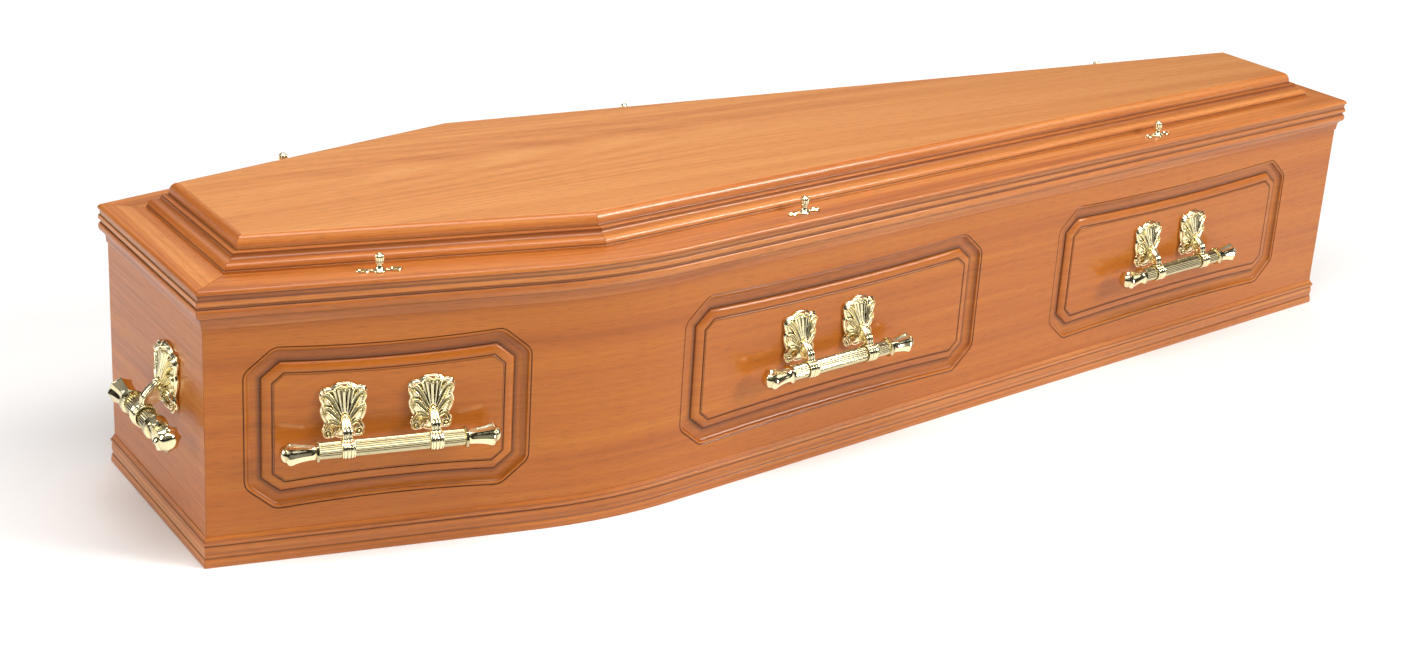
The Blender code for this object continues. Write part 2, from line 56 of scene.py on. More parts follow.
# %% Sizes of the box
GAP = 0.0003
MITRE_GAP = 0.00025
WALL = 0.018
OVERHANG = 0.009
SHOULDER_WIDTH = 0.537
SHOULDER_FROM_HEAD = 0.483
SHOULDER_BEND = 0.100
BEND_STEPS = 20

head_low, head_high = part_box("head_end")
foot_low, foot_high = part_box("foot_end")
LENGTH = foot_high.x - head_low.x
HEAD_WIDTH = head_high.y - head_low.y + 2 * MITRE_GAP
FOOT_WIDTH = foot_high.y - foot_low.y + 2 * MITRE_GAP
BOX_HEIGHT = head_high.z + GAP
LID_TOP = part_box("lid_board")[1].z
RAISED_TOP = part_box("raised_panel")[1].z
print("length", round(LENGTH, 4), "head", round(HEAD_WIDTH, 4), "foot", round(FOOT_WIDTH, 4))

# %% [markdown]
# Corners are moved outwards along their mitre, as a joiner would draw them. A station is a point
# of the outline with the vector that moves it outwards by one metre, and a moulding is its
# profile carried from station to station. The shoulder is an arc for the walls and the rim, and
# sharp for the raised lid, whose mouldings are mitred there.

# %% The outline and its stations
def mitre(first, second):
    return (first + second) / (1.0 + first.dot(second))


HEAD_CORNER = Vector((-LENGTH / 2, -HEAD_WIDTH / 2))
SHOULDER = Vector((-LENGTH / 2 + SHOULDER_FROM_HEAD, -SHOULDER_WIDTH / 2))
FOOT_CORNER = Vector((LENGTH / 2, -FOOT_WIDTH / 2))
ALONG_HEAD = (SHOULDER - HEAD_CORNER).normalized()
ALONG_FOOT = (FOOT_CORNER - SHOULDER).normalized()
OUT_HEAD = Vector((ALONG_HEAD.y, -ALONG_HEAD.x))
OUT_FOOT = Vector((ALONG_FOOT.y, -ALONG_FOOT.x))
HEADWARD = Vector((-1.0, 0.0))
FOOTWARD = Vector((1.0, 0.0))


def bend_stations():
    turn = OUT_HEAD.angle(OUT_FOOT)
    radius = SHOULDER_BEND / math.tan(turn / 2)
    centre = SHOULDER - ALONG_HEAD * SHOULDER_BEND - OUT_HEAD * radius
    normals = [OUT_HEAD.slerp(OUT_FOOT, k / BEND_STEPS).normalized() for k in range(BEND_STEPS + 1)]
    return [(centre + normal * radius, normal) for normal in normals]


def side_stations(gap=0.0):
    head = (HEAD_CORNER + ALONG_HEAD * gap, mitre(HEADWARD, OUT_HEAD))
    foot = (FOOT_CORNER - ALONG_FOOT * gap, mitre(OUT_FOOT, FOOTWARD))
    return [head] + bend_stations() + [foot]


def mirrored(stations):
    return [(Vector((p.x, -p.y)), Vector((m.x, -m.y))) for p, m in stations]


def end_stations(at_head, gap=0.0):
    point, offset = side_stations()[0 if at_head else -1]
    right = (point + Vector((0.0, gap)), offset)
    return [right] + mirrored([right])


def sharp_stations(gap=0.0):
    """The two straight runs of a side whose shoulder is mitred."""
    turn = mitre(OUT_HEAD, OUT_FOOT)
    head = side_stations(gap)[0]
    foot = side_stations(gap)[-1]
    return [head, (SHOULDER - ALONG_HEAD * gap, turn)], [(SHOULDER + ALONG_FOOT * gap, turn), foot]


# %% [markdown]
# Timber is dressed by its grain, so each mesh carries a map of it in metres: along the grain,
# then across it. A loft is the simplest mesh for a moulding, and knows both distances as it is
# made. Stain and polish gather in hollow corners, and shade falls there, so a second map says how
# hollow each place is: it adds up the inward turns of the profile within a short reach. The wood
# is darkened by that map, partly as real stain and partly as painted shade. Edges sharper than a
# set angle stay crisp, and the rest are shaded smooth.

# %% Lofts with a grain map and a map of stain and painted shade
# How far the stain and painted shade reach from a hollow corner, and how sharp a turn fills them.
STAIN_AND_SHADE_REACH = 0.0018
FULL_STAIN_AND_SHADE_TURN = math.radians(58)


def with_near_points(profile, reach=0.0013):
    """Adds a point near each end of the long edges, so that the stain and painted shade fade within that
    reach.
    """
    points = []
    for i, start in enumerate(profile):
        start = Vector(start)
        end = Vector(profile[(i + 1) % len(profile)])
        points.append(tuple(start))
        length = (end - start).length
        if length > 3 * reach:
            points.append(tuple(start.lerp(end, reach / length)))
            points.append(tuple(end.lerp(start, reach / length)))
    return points


def stain_and_shade_of(profile):
    """How much stain and painted shade each point of a closed profile gets, from 0 to 1."""
    count = len(profile)
    points = [Vector(p) for p in profile]
    area = sum(points[i].cross(points[(i + 1) % count]) for i in range(count))
    turns = []
    for i in range(count):
        before = points[i] - points[i - 1]
        after = points[(i + 1) % count] - points[i]
        turn = math.atan2(before.cross(after), before.dot(after)) * (1 if area > 0 else -1)
        turns.append(max(0.0, -turn))
    stains_and_shade = []
    for spot in points:
        near = sum(
            turn * max(0.0, 1 - (spot - other).length / STAIN_AND_SHADE_REACH)
            for turn, other in zip(turns, points))
        stains_and_shade.append(min(1.0, near / FULL_STAIN_AND_SHADE_TURN))
    return stains_and_shade


def distances(points):
    total = 0.0
    found = [0.0]
    for before, after in zip(points, points[1:]):
        total += (Vector(after) - Vector(before)).length
        found.append(total)
    return found


def shade(mesh, sharpest=32.0):
    """Shades a mesh smooth, but for the edges where it turns by more than sharpest degrees."""
    bm = bmesh.new()
    bm.from_mesh(mesh)
    bmesh.ops.recalc_face_normals(bm, faces=bm.faces)
    for face in bm.faces:
        face.smooth = True
    for edge in bm.edges:
        edge.smooth = len(edge.link_faces) == 2 and edge.calc_face_angle(0.0) < math.radians(sharpest)
    bm.to_mesh(mesh)
    bm.free()


def loft(name, sections, along, around, ring=False, stains_and_shade=None):
    """Joins equal closed sections. along and around are the grain distances of their points."""
    count = len(sections[0])
    verts = [point for section in sections for point in section]
    faces = []
    grain = []
    stain_and_shade_corners = []
    stains_and_shade = stains_and_shade or [0.0] * count
    last = around[-1] + (Vector(sections[0][-1]) - Vector(sections[0][0])).length
    turns = list(around) + [last]
    spans = len(sections) if ring else len(sections) - 1
    for i in range(spans):
        after = (i + 1) % len(sections)
        for j in range(count):
            k = (j + 1) % count
            faces.append((i * count + j, after * count + j, after * count + k, i * count + k))
            near = (along[i], along[i + 1], along[i + 1], along[i])
            across = (turns[j], turns[j], turns[j + 1], turns[j + 1])
            grain.extend(zip(near, across))
            stain_and_shade_corners.extend((stains_and_shade[j], stains_and_shade[j], stains_and_shade[k], stains_and_shade[k]))
    if not ring:
        for i in (0, len(sections) - 1):
            faces.append(tuple(i * count + j for j in range(count)))
            grain.extend((verts[i * count + j][2], verts[i * count + j][1]) for j in range(count))
            stain_and_shade_corners.extend([0.0] * count)
    mesh = bpy.data.meshes.new(name)
    mesh.from_pydata(verts, [], faces)
    grain_map = mesh.uv_layers.new(name="grain")
    for corner, place in zip(grain_map.data, grain):
        corner.uv = place
    stain_and_shade_map = mesh.uv_layers.new(name="stain_and_shade")
    for corner, amount in zip(stain_and_shade_map.data, stain_and_shade_corners):
        corner.uv = (amount, 0.0)
    return mesh


def at(station, offset, z):
    point, vector = station
    moved = point + vector * offset
    return (moved.x, moved.y, z)


GRAIN_SKEW = 0.37


def moulding_mesh(name, stations, profile, start=0.0):
    """A profile of (offset, height) carried along the stations. start shifts its grain along,
    and GRAIN_SKEW times as far across, so that no two mouldings look alike."""
    profile = with_near_points(profile)
    sections = [[at(station, offset, z) for offset, z in profile] for station in stations]
    along = [start + d for d in distances([point for point, _ in stations])]
    around = [GRAIN_SKEW * start + d for d in distances(profile)]
    mesh = loft(name, sections, along, around, stains_and_shade=stain_and_shade_of(profile))
    shade(mesh)
    return mesh


def in_scene(name, data):
    """A new object in the scene that shows the data."""
    made = bpy.data.objects.new(name, data)
    bpy.context.scene.collection.objects.link(made)
    return made


def add_piece(name, mesh, material, slot, *nodes):
    """A finished piece: it rides on the coffin and stands for the named solids."""
    piece = in_scene(name, mesh)
    if not mesh.materials:
        mesh.materials.append(material)
    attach(piece, "root")
    if nodes:
        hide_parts(*nodes)
    return piece


# %% [markdown]
# Mouldings are cut with a few simple cutters, and quarter ellipses draw them all. Which way a
# quarter sets off from its start, upwards or outwards, makes it a round or a hollow.

# %% Quarter curves for profiles
def quarter(start, end, first, steps=7):
    """A quarter ellipse from start to end that sets off along the offset (out) or upwards (up)."""
    points = []
    for k in range(steps + 1):
        turn = math.pi / 2 * k / steps
        slow = 1 - math.cos(turn)
        fast = math.sin(turn)
        across, up = (fast, slow) if first == "out" else (slow, fast)
        points.append((start[0] + (end[0] - start[0]) * across, start[1] + (end[1] - start[1]) * up))
    return points


# %% [markdown]
# Colours are written as the sRGB hex values one would pick from a picture, and turned into the
# linear values that shaders need. One small function adds every node.

# %% Colours and nodes
def linear(hex_colour):
    channels = [int(hex_colour[i:i + 2], 16) / 255 for i in (1, 3, 5)]
    return tuple(c / 12.92 if c <= 0.04045 else ((c + 0.055) / 1.055) ** 2.4 for c in channels) + (1.0,)


def add_node(tree, kind, inputs=None, stops=None, **settings):
    """Adds a node with its settings. An input is a value, or another node's socket to link."""
    made = tree.nodes.new(kind)
    for name, value in settings.items():
        setattr(made, name, value)
    for key, value in (inputs or {}).items():
        if isinstance(value, bpy.types.NodeSocket):
            tree.links.new(value, made.inputs[key])
        else:
            made.inputs[key].default_value = value
    if stops:
        elements = made.color_ramp.elements
        while len(elements) < len(stops):
            elements.new(0.5)
        for element, (position, colour) in zip(elements, stops):
            element.position = position
            element.color = colour
    return made


# %% [markdown]
# Mahogany veneer under satin lacquer. The sliced veneer gives long soft stripes a few millimetres
# to a few centimetres wide, darker streaks, and pores like short scratches. The lacquer gives a
# clear coat that catches broad pale highlights on every rounded edge. Noise stretched along the
# grain draws all of it, and its scales are one over the real widths in metres.

# %% Lacquered mahogany
STRIPE_WIDTH = 0.030
STREAK_WIDTH = 0.0055
PORE_WIDTH = 0.0011
WAVER = 0.010
STRIPE_SHARE = 0.62
STREAK_SHARE = 0.38
TONE_REACH = 0.21
PORE_DARKNESS = 0.70
# How far the hollows are darkened, and to what colour: partly real stain, partly painted shade.
STAIN_AND_SHADE = 0.7
STAIN_AND_SHADE_COLOUR = "#4A230C"


def lacquered_wood(name, tones, source="grain", quarter_turn=False, cathedral=None, contrast=1.0):
    """tones are the dark, middle and light hex colours. source is the grain map or the object."""
    material = bpy.data.materials.new(name)
    material.use_nodes = True
    tree = material.node_tree
    shader = tree.nodes["Principled BSDF"]
    if source == "grain":
        place = add_node(tree, "ShaderNodeUVMap", uv_map="grain").outputs[0]
    else:
        place = add_node(tree, "ShaderNodeTexCoord").outputs["Object"]
    if quarter_turn:
        turned = add_node(tree, "ShaderNodeMapping", {0: place, 2: (0.0, 0.0, math.pi / 2)})
        lifted = add_node(tree, "ShaderNodeSeparateXYZ", {0: turned.outputs[0]})
        place = add_node(tree, "ShaderNodeCombineXYZ", {
            0: lifted.outputs[0], 1: lifted.outputs[2], 2: lifted.outputs[1]}).outputs[0]
    slow = add_node(tree, "ShaderNodeMapping", {0: place, 3: (1.6, 9.0, 9.0)})
    drift = add_node(tree, "ShaderNodeTexNoise", {0: slow.outputs[0], "Scale": 1.0, "Detail": 1.0})
    centred = add_node(tree, "ShaderNodeMath", {0: drift.outputs[0], 1: 0.5}, operation="SUBTRACT")
    waver = add_node(tree, "ShaderNodeMath", {0: centred.outputs[0], 1: WAVER}, operation="MULTIPLY")
    shift = add_node(tree, "ShaderNodeCombineXYZ", {1: waver.outputs[0]})
    wavy = add_node(tree, "ShaderNodeVectorMath", {0: place, 1: shift.outputs[0]}).outputs[0]

    stripe_place = add_node(tree, "ShaderNodeMapping", {0: wavy, 3: (0.8, 1 / STRIPE_WIDTH, 9.0)})
    stripes = add_node(tree, "ShaderNodeTexNoise", {
        0: stripe_place.outputs[0], "Scale": 1.0, "Detail": 2.0, "Roughness": 0.5})
    streak_place = add_node(tree, "ShaderNodeMapping", {0: wavy, 3: (3.2, 1 / STREAK_WIDTH, 60.0)})
    streaks = add_node(tree, "ShaderNodeTexNoise", {
        0: streak_place.outputs[0], "Scale": 1.0, "Detail": 4.0, "Roughness": 0.62})
    pore_place = add_node(tree, "ShaderNodeMapping", {0: wavy, 3: (42.0, 1 / PORE_WIDTH, 300.0)})
    pores = add_node(tree, "ShaderNodeTexNoise", {
        0: pore_place.outputs[0], "Scale": 1.0, "Detail": 2.0, "Roughness": 0.6})

    broad = add_node(tree, "ShaderNodeMath", {
        0: stripes.outputs[0], 1: STRIPE_SHARE}, operation="MULTIPLY")
    figure = add_node(tree, "ShaderNodeMath", {
        0: streaks.outputs[0], 1: STREAK_SHARE, 2: broad.outputs[0]}, operation="MULTIPLY_ADD").outputs[0]
    if cathedral:
        figure = cathedral(tree, wavy, figure)
    low = 0.5 - TONE_REACH / contrast
    high = 0.5 + TONE_REACH / contrast
    dark, middle, light = tones
    colour = add_node(tree, "ShaderNodeValToRGB", {0: figure}, stops=(
        (low, linear(dark)), (0.5, linear(middle)), (high, linear(light))))
    pitted = add_node(tree, "ShaderNodeMapRange", {
        0: pores.outputs[0], 1: 0.30, 2: 0.47, 3: PORE_DARKNESS, 4: 1.0})
    grained = add_node(tree, "ShaderNodeMix", {
        0: 1.0, 6: colour.outputs[0], 7: pitted.outputs[0]}, data_type="RGBA", blend_type="MULTIPLY")
    # The hollows are darkened by the hollow map: partly real stain, partly painted shade.
    if source == "grain":
        stain_and_shade_share = add_node(tree, "ShaderNodeSeparateXYZ", {
            0: add_node(tree, "ShaderNodeUVMap", uv_map="stain_and_shade").outputs[0]})
        amount = add_node(tree, "ShaderNodeMath", {
            0: stain_and_shade_share.outputs[0], 1: STAIN_AND_SHADE}, operation="MULTIPLY")
        grained = add_node(tree, "ShaderNodeMix", {
            0: amount.outputs[0], 6: grained.outputs[2], 7: linear(STAIN_AND_SHADE_COLOUR)}, data_type="RGBA")
    relief = add_node(tree, "ShaderNodeBump", {
        "Strength": 0.10, "Distance": 0.0004, "Height": pitted.outputs[0]})
    gloss = add_node(tree, "ShaderNodeMapRange", {
        0: streaks.outputs[0], 1: 0.3, 2: 0.7, 3: 0.46, 4: 0.36})
    tree.links.new(grained.outputs[2], shader.inputs["Base Color"])
    tree.links.new(gloss.outputs[0], shader.inputs["Roughness"])
    tree.links.new(relief.outputs[0], shader.inputs["Normal"])
    shader.inputs["IOR"].default_value = 1.5
    shader.inputs["Specular IOR Level"].default_value = 0.3
    shader.inputs["Coat Weight"].default_value = 0.38
    shader.inputs["Coat Roughness"].default_value = 0.13
    shader.inputs["Coat IOR"].default_value = 1.48
    return material


# %% [markdown]
# A veneer cut near the middle of the log shows nested arches, called a cathedral. The arches are
# the level lines of a long parabola, so a sine of its value draws them. They fade out away from
# the head end of the lid, where the photograph has them.

# %% Cathedral figure
ARCH_FROM = -0.72
ARCH_TO = -0.10
ARCH_AXIS = 0.045
ARCH_SLOPE = 0.16
ARCH_SHARPNESS = 9.0
ARCH_RINGS = 240.0
ARCH_STRENGTH = 0.07


def cathedral_figure(tree, place, figure):
    parts = add_node(tree, "ShaderNodeSeparateXYZ", {0: place})
    aside = add_node(tree, "ShaderNodeMath", {0: parts.outputs[1], 1: ARCH_AXIS}, operation="SUBTRACT")
    squared = add_node(tree, "ShaderNodeMath", {0: aside.outputs[0], 1: 2.0}, operation="POWER")
    steep = add_node(tree, "ShaderNodeMath", {
        0: squared.outputs[0], 1: ARCH_SHARPNESS}, operation="MULTIPLY")
    parabola = add_node(tree, "ShaderNodeMath", {
        0: parts.outputs[0], 1: ARCH_SLOPE, 2: steep.outputs[0]}, operation="MULTIPLY_ADD")
    ringed = add_node(tree, "ShaderNodeMath", {
        0: parabola.outputs[0], 1: ARCH_RINGS}, operation="MULTIPLY")
    wave = add_node(tree, "ShaderNodeMath", {0: ringed.outputs[0]}, operation="SINE")
    fade_in = add_node(tree, "ShaderNodeMapRange", {
        0: parts.outputs[0], 1: ARCH_FROM - 0.15, 2: ARCH_FROM + 0.05, 3: 0.0, 4: 1.0})
    fade_out = add_node(tree, "ShaderNodeMapRange", {
        0: parts.outputs[0], 1: ARCH_TO - 0.25, 2: ARCH_TO + 0.15, 3: 1.0, 4: 0.0})
    fade = add_node(tree, "ShaderNodeMath", {
        0: fade_in.outputs[0], 1: fade_out.outputs[0]}, operation="MULTIPLY")
    faded = add_node(tree, "ShaderNodeMath", {0: wave.outputs[0], 1: fade.outputs[0]}, operation="MULTIPLY")
    return add_node(tree, "ShaderNodeMath", {
        0: faded.outputs[0], 1: ARCH_STRENGTH, 2: figure}, operation="MULTIPLY_ADD").outputs[0]


SIDE_TONES = ("#9A4E0E", "#B66416", "#C4751E")
# The lid's tones are lighter than the sides': partly the veneer's own colour, partly a painted sheen on the
# top.
LID_TONES_WITH_SHEEN = ("#B86E36", "#D08748", "#DE9A5A")
MOULDING_TONES = ("#984C18", "#BF6F2F", "#D68C4A")
side_veneer = lacquered_wood("mahogany_veneer_sides", SIDE_TONES, contrast=0.75)
end_veneer = lacquered_wood(
    "mahogany_veneer_ends", SIDE_TONES, source="object", quarter_turn=True, contrast=0.75)
lid_veneer = lacquered_wood(
    "mahogany_veneer_lid", LID_TONES_WITH_SHEEN, source="object", cathedral=cathedral_figure, contrast=0.75)
moulding_wood = lacquered_wood("mahogany_mouldings", MOULDING_TONES, contrast=1.25)
margin_wood = lacquered_wood("mahogany_lid_edge", MOULDING_TONES, contrast=1.15)

# %% [markdown]
# The base is a plain board that is only seen from below, so it has the same pattern without
# the coat: a raw sawn surface scatters light and doesn't shine.

# %% Bare board
bare_board = lacquered_wood("bare_base_board", ("#A9773F", "#BE8C55", "#CFA06A"), source="object")
bare_board.node_tree.nodes["Principled BSDF"].inputs["Coat Weight"].default_value = 0.0

# %% [markdown]
# The fittings are zinc castings and tubes, plated with a thin pale gold and polished. Such plating
# is a true metal surface with a warm tint and small ripples from the casting below, which
# break the reflections up. The hollows are painted dark, as painted shade, and a map of the
# hollows says where that is.

# %% Plated pale gold
RIPPLE = 0.004
POLISHED_COLOUR = "#FAEEC2"
# Painted shade: the colour that the metal is given in its hollows.
HOLLOW_SHADE_COLOUR = "#5E5228"

plated_gold = bpy.data.materials.new("polished_pale_gold_plating")
plated_gold.use_nodes = True
gold_tree = plated_gold.node_tree
gold_shader = gold_tree.nodes["Principled BSDF"]
gold_shader.inputs["Metallic"].default_value = 1.0
# The metal is mixed towards the dark colour in the hollows, as painted shade.
hollow_shade = add_node(gold_tree, "ShaderNodeSeparateXYZ", {
    0: add_node(gold_tree, "ShaderNodeUVMap", uv_map="stain_and_shade").outputs[0]})
gold_colour = add_node(gold_tree, "ShaderNodeMix", {
    0: hollow_shade.outputs[0], 6: linear(POLISHED_COLOUR), 7: linear(HOLLOW_SHADE_COLOUR)}, data_type="RGBA")
gold_tree.links.new(gold_colour.outputs[2], gold_shader.inputs["Base Color"])
gold_place = add_node(gold_tree, "ShaderNodeTexCoord").outputs["Object"]
gold_ripple = add_node(gold_tree, "ShaderNodeTexNoise", {0: gold_place, "Scale": 1 / RIPPLE, "Detail": 2.0})
gold_relief = add_node(gold_tree, "ShaderNodeBump", {
    "Strength": 0.12, "Distance": 0.0003, "Height": gold_ripple.outputs[0]})
gold_wear = add_node(gold_tree, "ShaderNodeMapRange", {
    0: gold_ripple.outputs[0], 1: 0.3, 2: 0.7, 3: 0.09, 4: 0.19})
gold_tree.links.new(gold_wear.outputs[0], gold_shader.inputs["Roughness"])
gold_tree.links.new(gold_relief.outputs[0], gold_shader.inputs["Normal"])

# %% [markdown]
# The plinth is a thin strip planted round the foot of the box. Read from the floor up it has an
# eased edge, two shallow hollows with a soft swelling between them, a bead and a bevel.

# %% Plinth
PLINTH_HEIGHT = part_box("plinth_right")[1].z
PLINTH_OUT = 0.0045
PLINTH_HOLLOW = PLINTH_OUT - 0.0018

plinth_profile = (
    [(GAP, 0.0)]
    + quarter((PLINTH_OUT - 0.0014, 0.0), (PLINTH_OUT, 0.0014), "out", 4)
    + [(PLINTH_OUT, 0.0050)]
    + quarter((PLINTH_OUT - 0.0003, 0.0056), (PLINTH_HOLLOW, 0.0118), "up")
    + quarter((PLINTH_HOLLOW + 0.0002, 0.0140), (PLINTH_HOLLOW + 0.0009, 0.0190), "up", 4)
    + quarter((PLINTH_HOLLOW + 0.0008, 0.0200), (PLINTH_HOLLOW, 0.0275), "up", 4)
    + quarter((PLINTH_HOLLOW + 0.0001, 0.0285), (PLINTH_OUT, 0.0308), "out", 4)
    + quarter((PLINTH_OUT, 0.0318), (PLINTH_OUT - 0.0012, 0.0336), "up", 4)
    + [(2 * GAP, PLINTH_HEIGHT), (GAP, PLINTH_HEIGHT)]
)
round_runs = {
    "right": side_stations(MITRE_GAP), "left": mirrored(side_stations(MITRE_GAP)),
    "head": end_stations(True, MITRE_GAP), "foot": end_stations(False, MITRE_GAP),
}
# Where each moulding's grain starts, and how far it moves on from one piece to the next.
GRAIN_STARTS = {"plinth": (3.1, 2.7), "skirt": (17.0, 2.9), "board": (31.0, 3.3), "frame": (47.0, 3.7)}


def grain_start(which, count):
    first, step = GRAIN_STARTS[which]
    return first + step * count


def add_moulding(node, stations, profile, start):
    mesh = moulding_mesh("moulded_" + node, stations, profile, start)
    add_piece("moulded_" + node, mesh, moulding_wood, "lacquered_wood", node)


for count, (which, stations) in enumerate(round_runs.items()):
    add_moulding("plinth_" + which, stations, plinth_profile, grain_start("plinth", count))
print("plinth height", round(PLINTH_HEIGHT, 4))

# %% [markdown]
# The rim of the lid reads as five bands: a rounded nose, a hollow band, a flat one with soft
# edges, a dark groove where the board meets its skirt, and a bead that curves back to the wall.
# The board and the skirt are separate pieces, as the solids are.

# %% Lid board and skirt
RAISED_MARGIN = 0.048
BOARD_INNER = OVERHANG - RAISED_MARGIN - 0.020
GROOVE = OVERHANG - 0.0026

board_profile = (
    [(BOARD_INNER, BOX_HEIGHT), (GROOVE, BOX_HEIGHT)]
    + quarter((GROOVE + 0.0004, BOX_HEIGHT + 0.0006), (OVERHANG - 0.0002, BOX_HEIGHT + 0.0030), "out", 6)
    + quarter((OVERHANG - 0.0002, BOX_HEIGHT + 0.0052), (OVERHANG - 0.0015, BOX_HEIGHT + 0.0074), "up", 5)
    + [(OVERHANG - 0.0019, BOX_HEIGHT + 0.0078), (OVERHANG - 0.0021, BOX_HEIGHT + 0.0110)]
    + quarter((OVERHANG - 0.0019, BOX_HEIGHT + 0.0128), (OVERHANG - 0.0004, BOX_HEIGHT + 0.0147), "up", 5)
    + [(OVERHANG, BOX_HEIGHT + 0.0150)]
    + quarter((OVERHANG, LID_TOP - 0.0052), (OVERHANG - 0.0052, LID_TOP), "up", 9)
    + [(BOARD_INNER, LID_TOP)]
)
SKIRT_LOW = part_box("lid_skirt_right")[0].z
SKIRT_TOP = BOX_HEIGHT - GAP
skirt_profile = (
    [(0.0005, SKIRT_TOP), (GROOVE, SKIRT_TOP), (GROOVE, SKIRT_TOP - 0.0020)]
    + quarter((GROOVE + 0.0003, SKIRT_TOP - 0.0024), (OVERHANG, SKIRT_TOP - 0.0070), "out", 7)
    + quarter((OVERHANG, SKIRT_TOP - 0.0080), (OVERHANG - 0.0034, SKIRT_TOP - 0.0138), "up", 6)
    + quarter((OVERHANG - 0.0040, SKIRT_TOP - 0.0146), (0.0016, SKIRT_LOW + 0.0012), "out", 8)
    + [(0.0012, SKIRT_LOW), (0.0005, SKIRT_LOW)]
)
board_parts = []
for count, (which, stations) in enumerate(round_runs.items()):
    add_moulding("lid_skirt_" + which, stations, skirt_profile, grain_start("skirt", count))
    board_parts.append(moulding_mesh(
        "board_" + which, stations, board_profile, grain_start("board", count)))


def mesh_of(name, bm):
    """What a bmesh holds, as a new mesh."""
    mesh = bpy.data.meshes.new(name)
    bm.to_mesh(mesh)
    bm.free()
    return mesh


def joined(name, meshes):
    """One mesh out of several, with their grain maps kept."""
    bm = bmesh.new()
    for mesh in meshes:
        bm.from_mesh(mesh)
    whole = mesh_of(name, bm)
    for mesh in meshes:
        bpy.data.meshes.remove(mesh)
    return whole


middle_ring = side_stations() + list(reversed(mirrored(side_stations())))
middle_levels = [
    [at(station, BOARD_INNER - GAP, z) for station in middle_ring] for z in (BOX_HEIGHT, LID_TOP)]
middle = loft(
    "board_middle", middle_levels, [0.0, LID_TOP - BOX_HEIGHT], distances(middle_levels[0]))
shade(middle)
board = joined("moulded_lid_board", board_parts + [middle])
add_piece("moulded_lid_board", board, margin_wood, "lacquered_wood", "lid_board")
print("lid board", len(board.polygons), "faces")

# %% [markdown]
# The raised lid is framed by six mitred mouldings. From the board up they have a small lip, an
# ogee, a flat ledge, and a quarter round up to the top, which is one flat veneered panel.

# %% Raised lid
LEDGE_INSET = 0.0162
LEDGE_HEIGHT = 0.020
LEDGE_WIDTH = 0.0063
TOP_INSET = 0.0317
TOP_HEIGHT = RAISED_TOP - LID_TOP
FRAME_WIDTH = 0.046
RISER = LEDGE_INSET + LEDGE_WIDTH

frame_inset = (
    [(0.0, GAP), (0.0, 0.0022)]
    + quarter((0.0, 0.0024), (0.0006, 0.0030), "up", 3)
    + [(0.0012, 0.0032)]
    + quarter((0.0012, 0.0036), (0.0076, 0.0114), "up", 9)
    + quarter((0.0080, 0.0115), (0.0148, 0.0168), "out", 8)
    + [(0.0149, 0.0172), (0.0156, 0.0174), (0.0156, 0.0192)]
    + quarter((0.0156, 0.0193), (LEDGE_INSET + 0.0002, LEDGE_HEIGHT), "up", 3)
    + [(RISER - 0.0003, LEDGE_HEIGHT), (RISER, LEDGE_HEIGHT + 0.0016)]
    + quarter((RISER + 0.0003, LEDGE_HEIGHT + 0.0020), (TOP_INSET, TOP_HEIGHT - 0.0002), "up", 11)
    + [(TOP_INSET, TOP_HEIGHT - 0.0020), (FRAME_WIDTH, TOP_HEIGHT - 0.0020), (FRAME_WIDTH, GAP)]
)
FRAME_BASE = OVERHANG - RAISED_MARGIN
frame_profile = [(FRAME_BASE - inset, LID_TOP + height) for inset, height in frame_inset]
near_head, near_foot = sharp_stations(MITRE_GAP)
frame_runs = {
    "right_head": near_head, "right_foot": near_foot,
    "left_head": mirrored(near_head), "left_foot": mirrored(near_foot),
    "head": round_runs["head"], "foot": round_runs["foot"],
}
for count, (which, stations) in enumerate(frame_runs.items()):
    add_moulding("lid_frame_" + which, stations, frame_profile, grain_start("frame", count))

sharp_side = near_head[:1] + [(SHOULDER, mitre(OUT_HEAD, OUT_FOOT))] + near_foot[1:]
sharp_ring = sharp_side + list(reversed(mirrored(sharp_side)))
panel_edge = FRAME_BASE - TOP_INSET
panel_levels = [
    (panel_edge - 0.0001, RAISED_TOP - 0.0017), (panel_edge - 0.0001, RAISED_TOP - 0.0003),
    (panel_edge - 0.0005, RAISED_TOP),
]
panel_rings = [[at(station, offset, z) for station in sharp_ring] for offset, z in panel_levels]
panel_mesh = loft("veneered_raised_panel", panel_rings, [0.0, 0.001, 0.002], distances(panel_rings[0]))
shade(panel_mesh)
add_piece("veneered_raised_panel", panel_mesh, lid_veneer, "lacquered_wood", "raised_panel")
print("raised lid", round(TOP_HEIGHT, 4), "above the board")

# %% [markdown]
# Each side is one board with three panels routed into it. The channel is drawn along an octagon
# whose long edges bow inwards, and is cut out of the board with a boolean. Its profile has a
# beaded lip, a broad cove down to a narrow floor, and a broad round and a small quirk up to the
# field. A router cutter goes round a corner of its path, so the channel's outer edge turns in an
# arc and its inner edge in a sharp corner.

# %% Channel cutter
PANEL_FOOT = 0.0655
PANEL_HEIGHT = 0.208
CHAMFER_ALONG = 0.036
CHAMFER_UP = 0.031
PANEL_BOW = 0.005
BOW_STEPS = 14
DEPTH = 0.006
CUTTER_RADIUS = 0.018
ROUND_STEPS = 6
CORNER_COSINE = 0.95
OVERRUN = 0.004
BOARD_MARGIN = 0.02
BEHIND_BOARD = -0.03
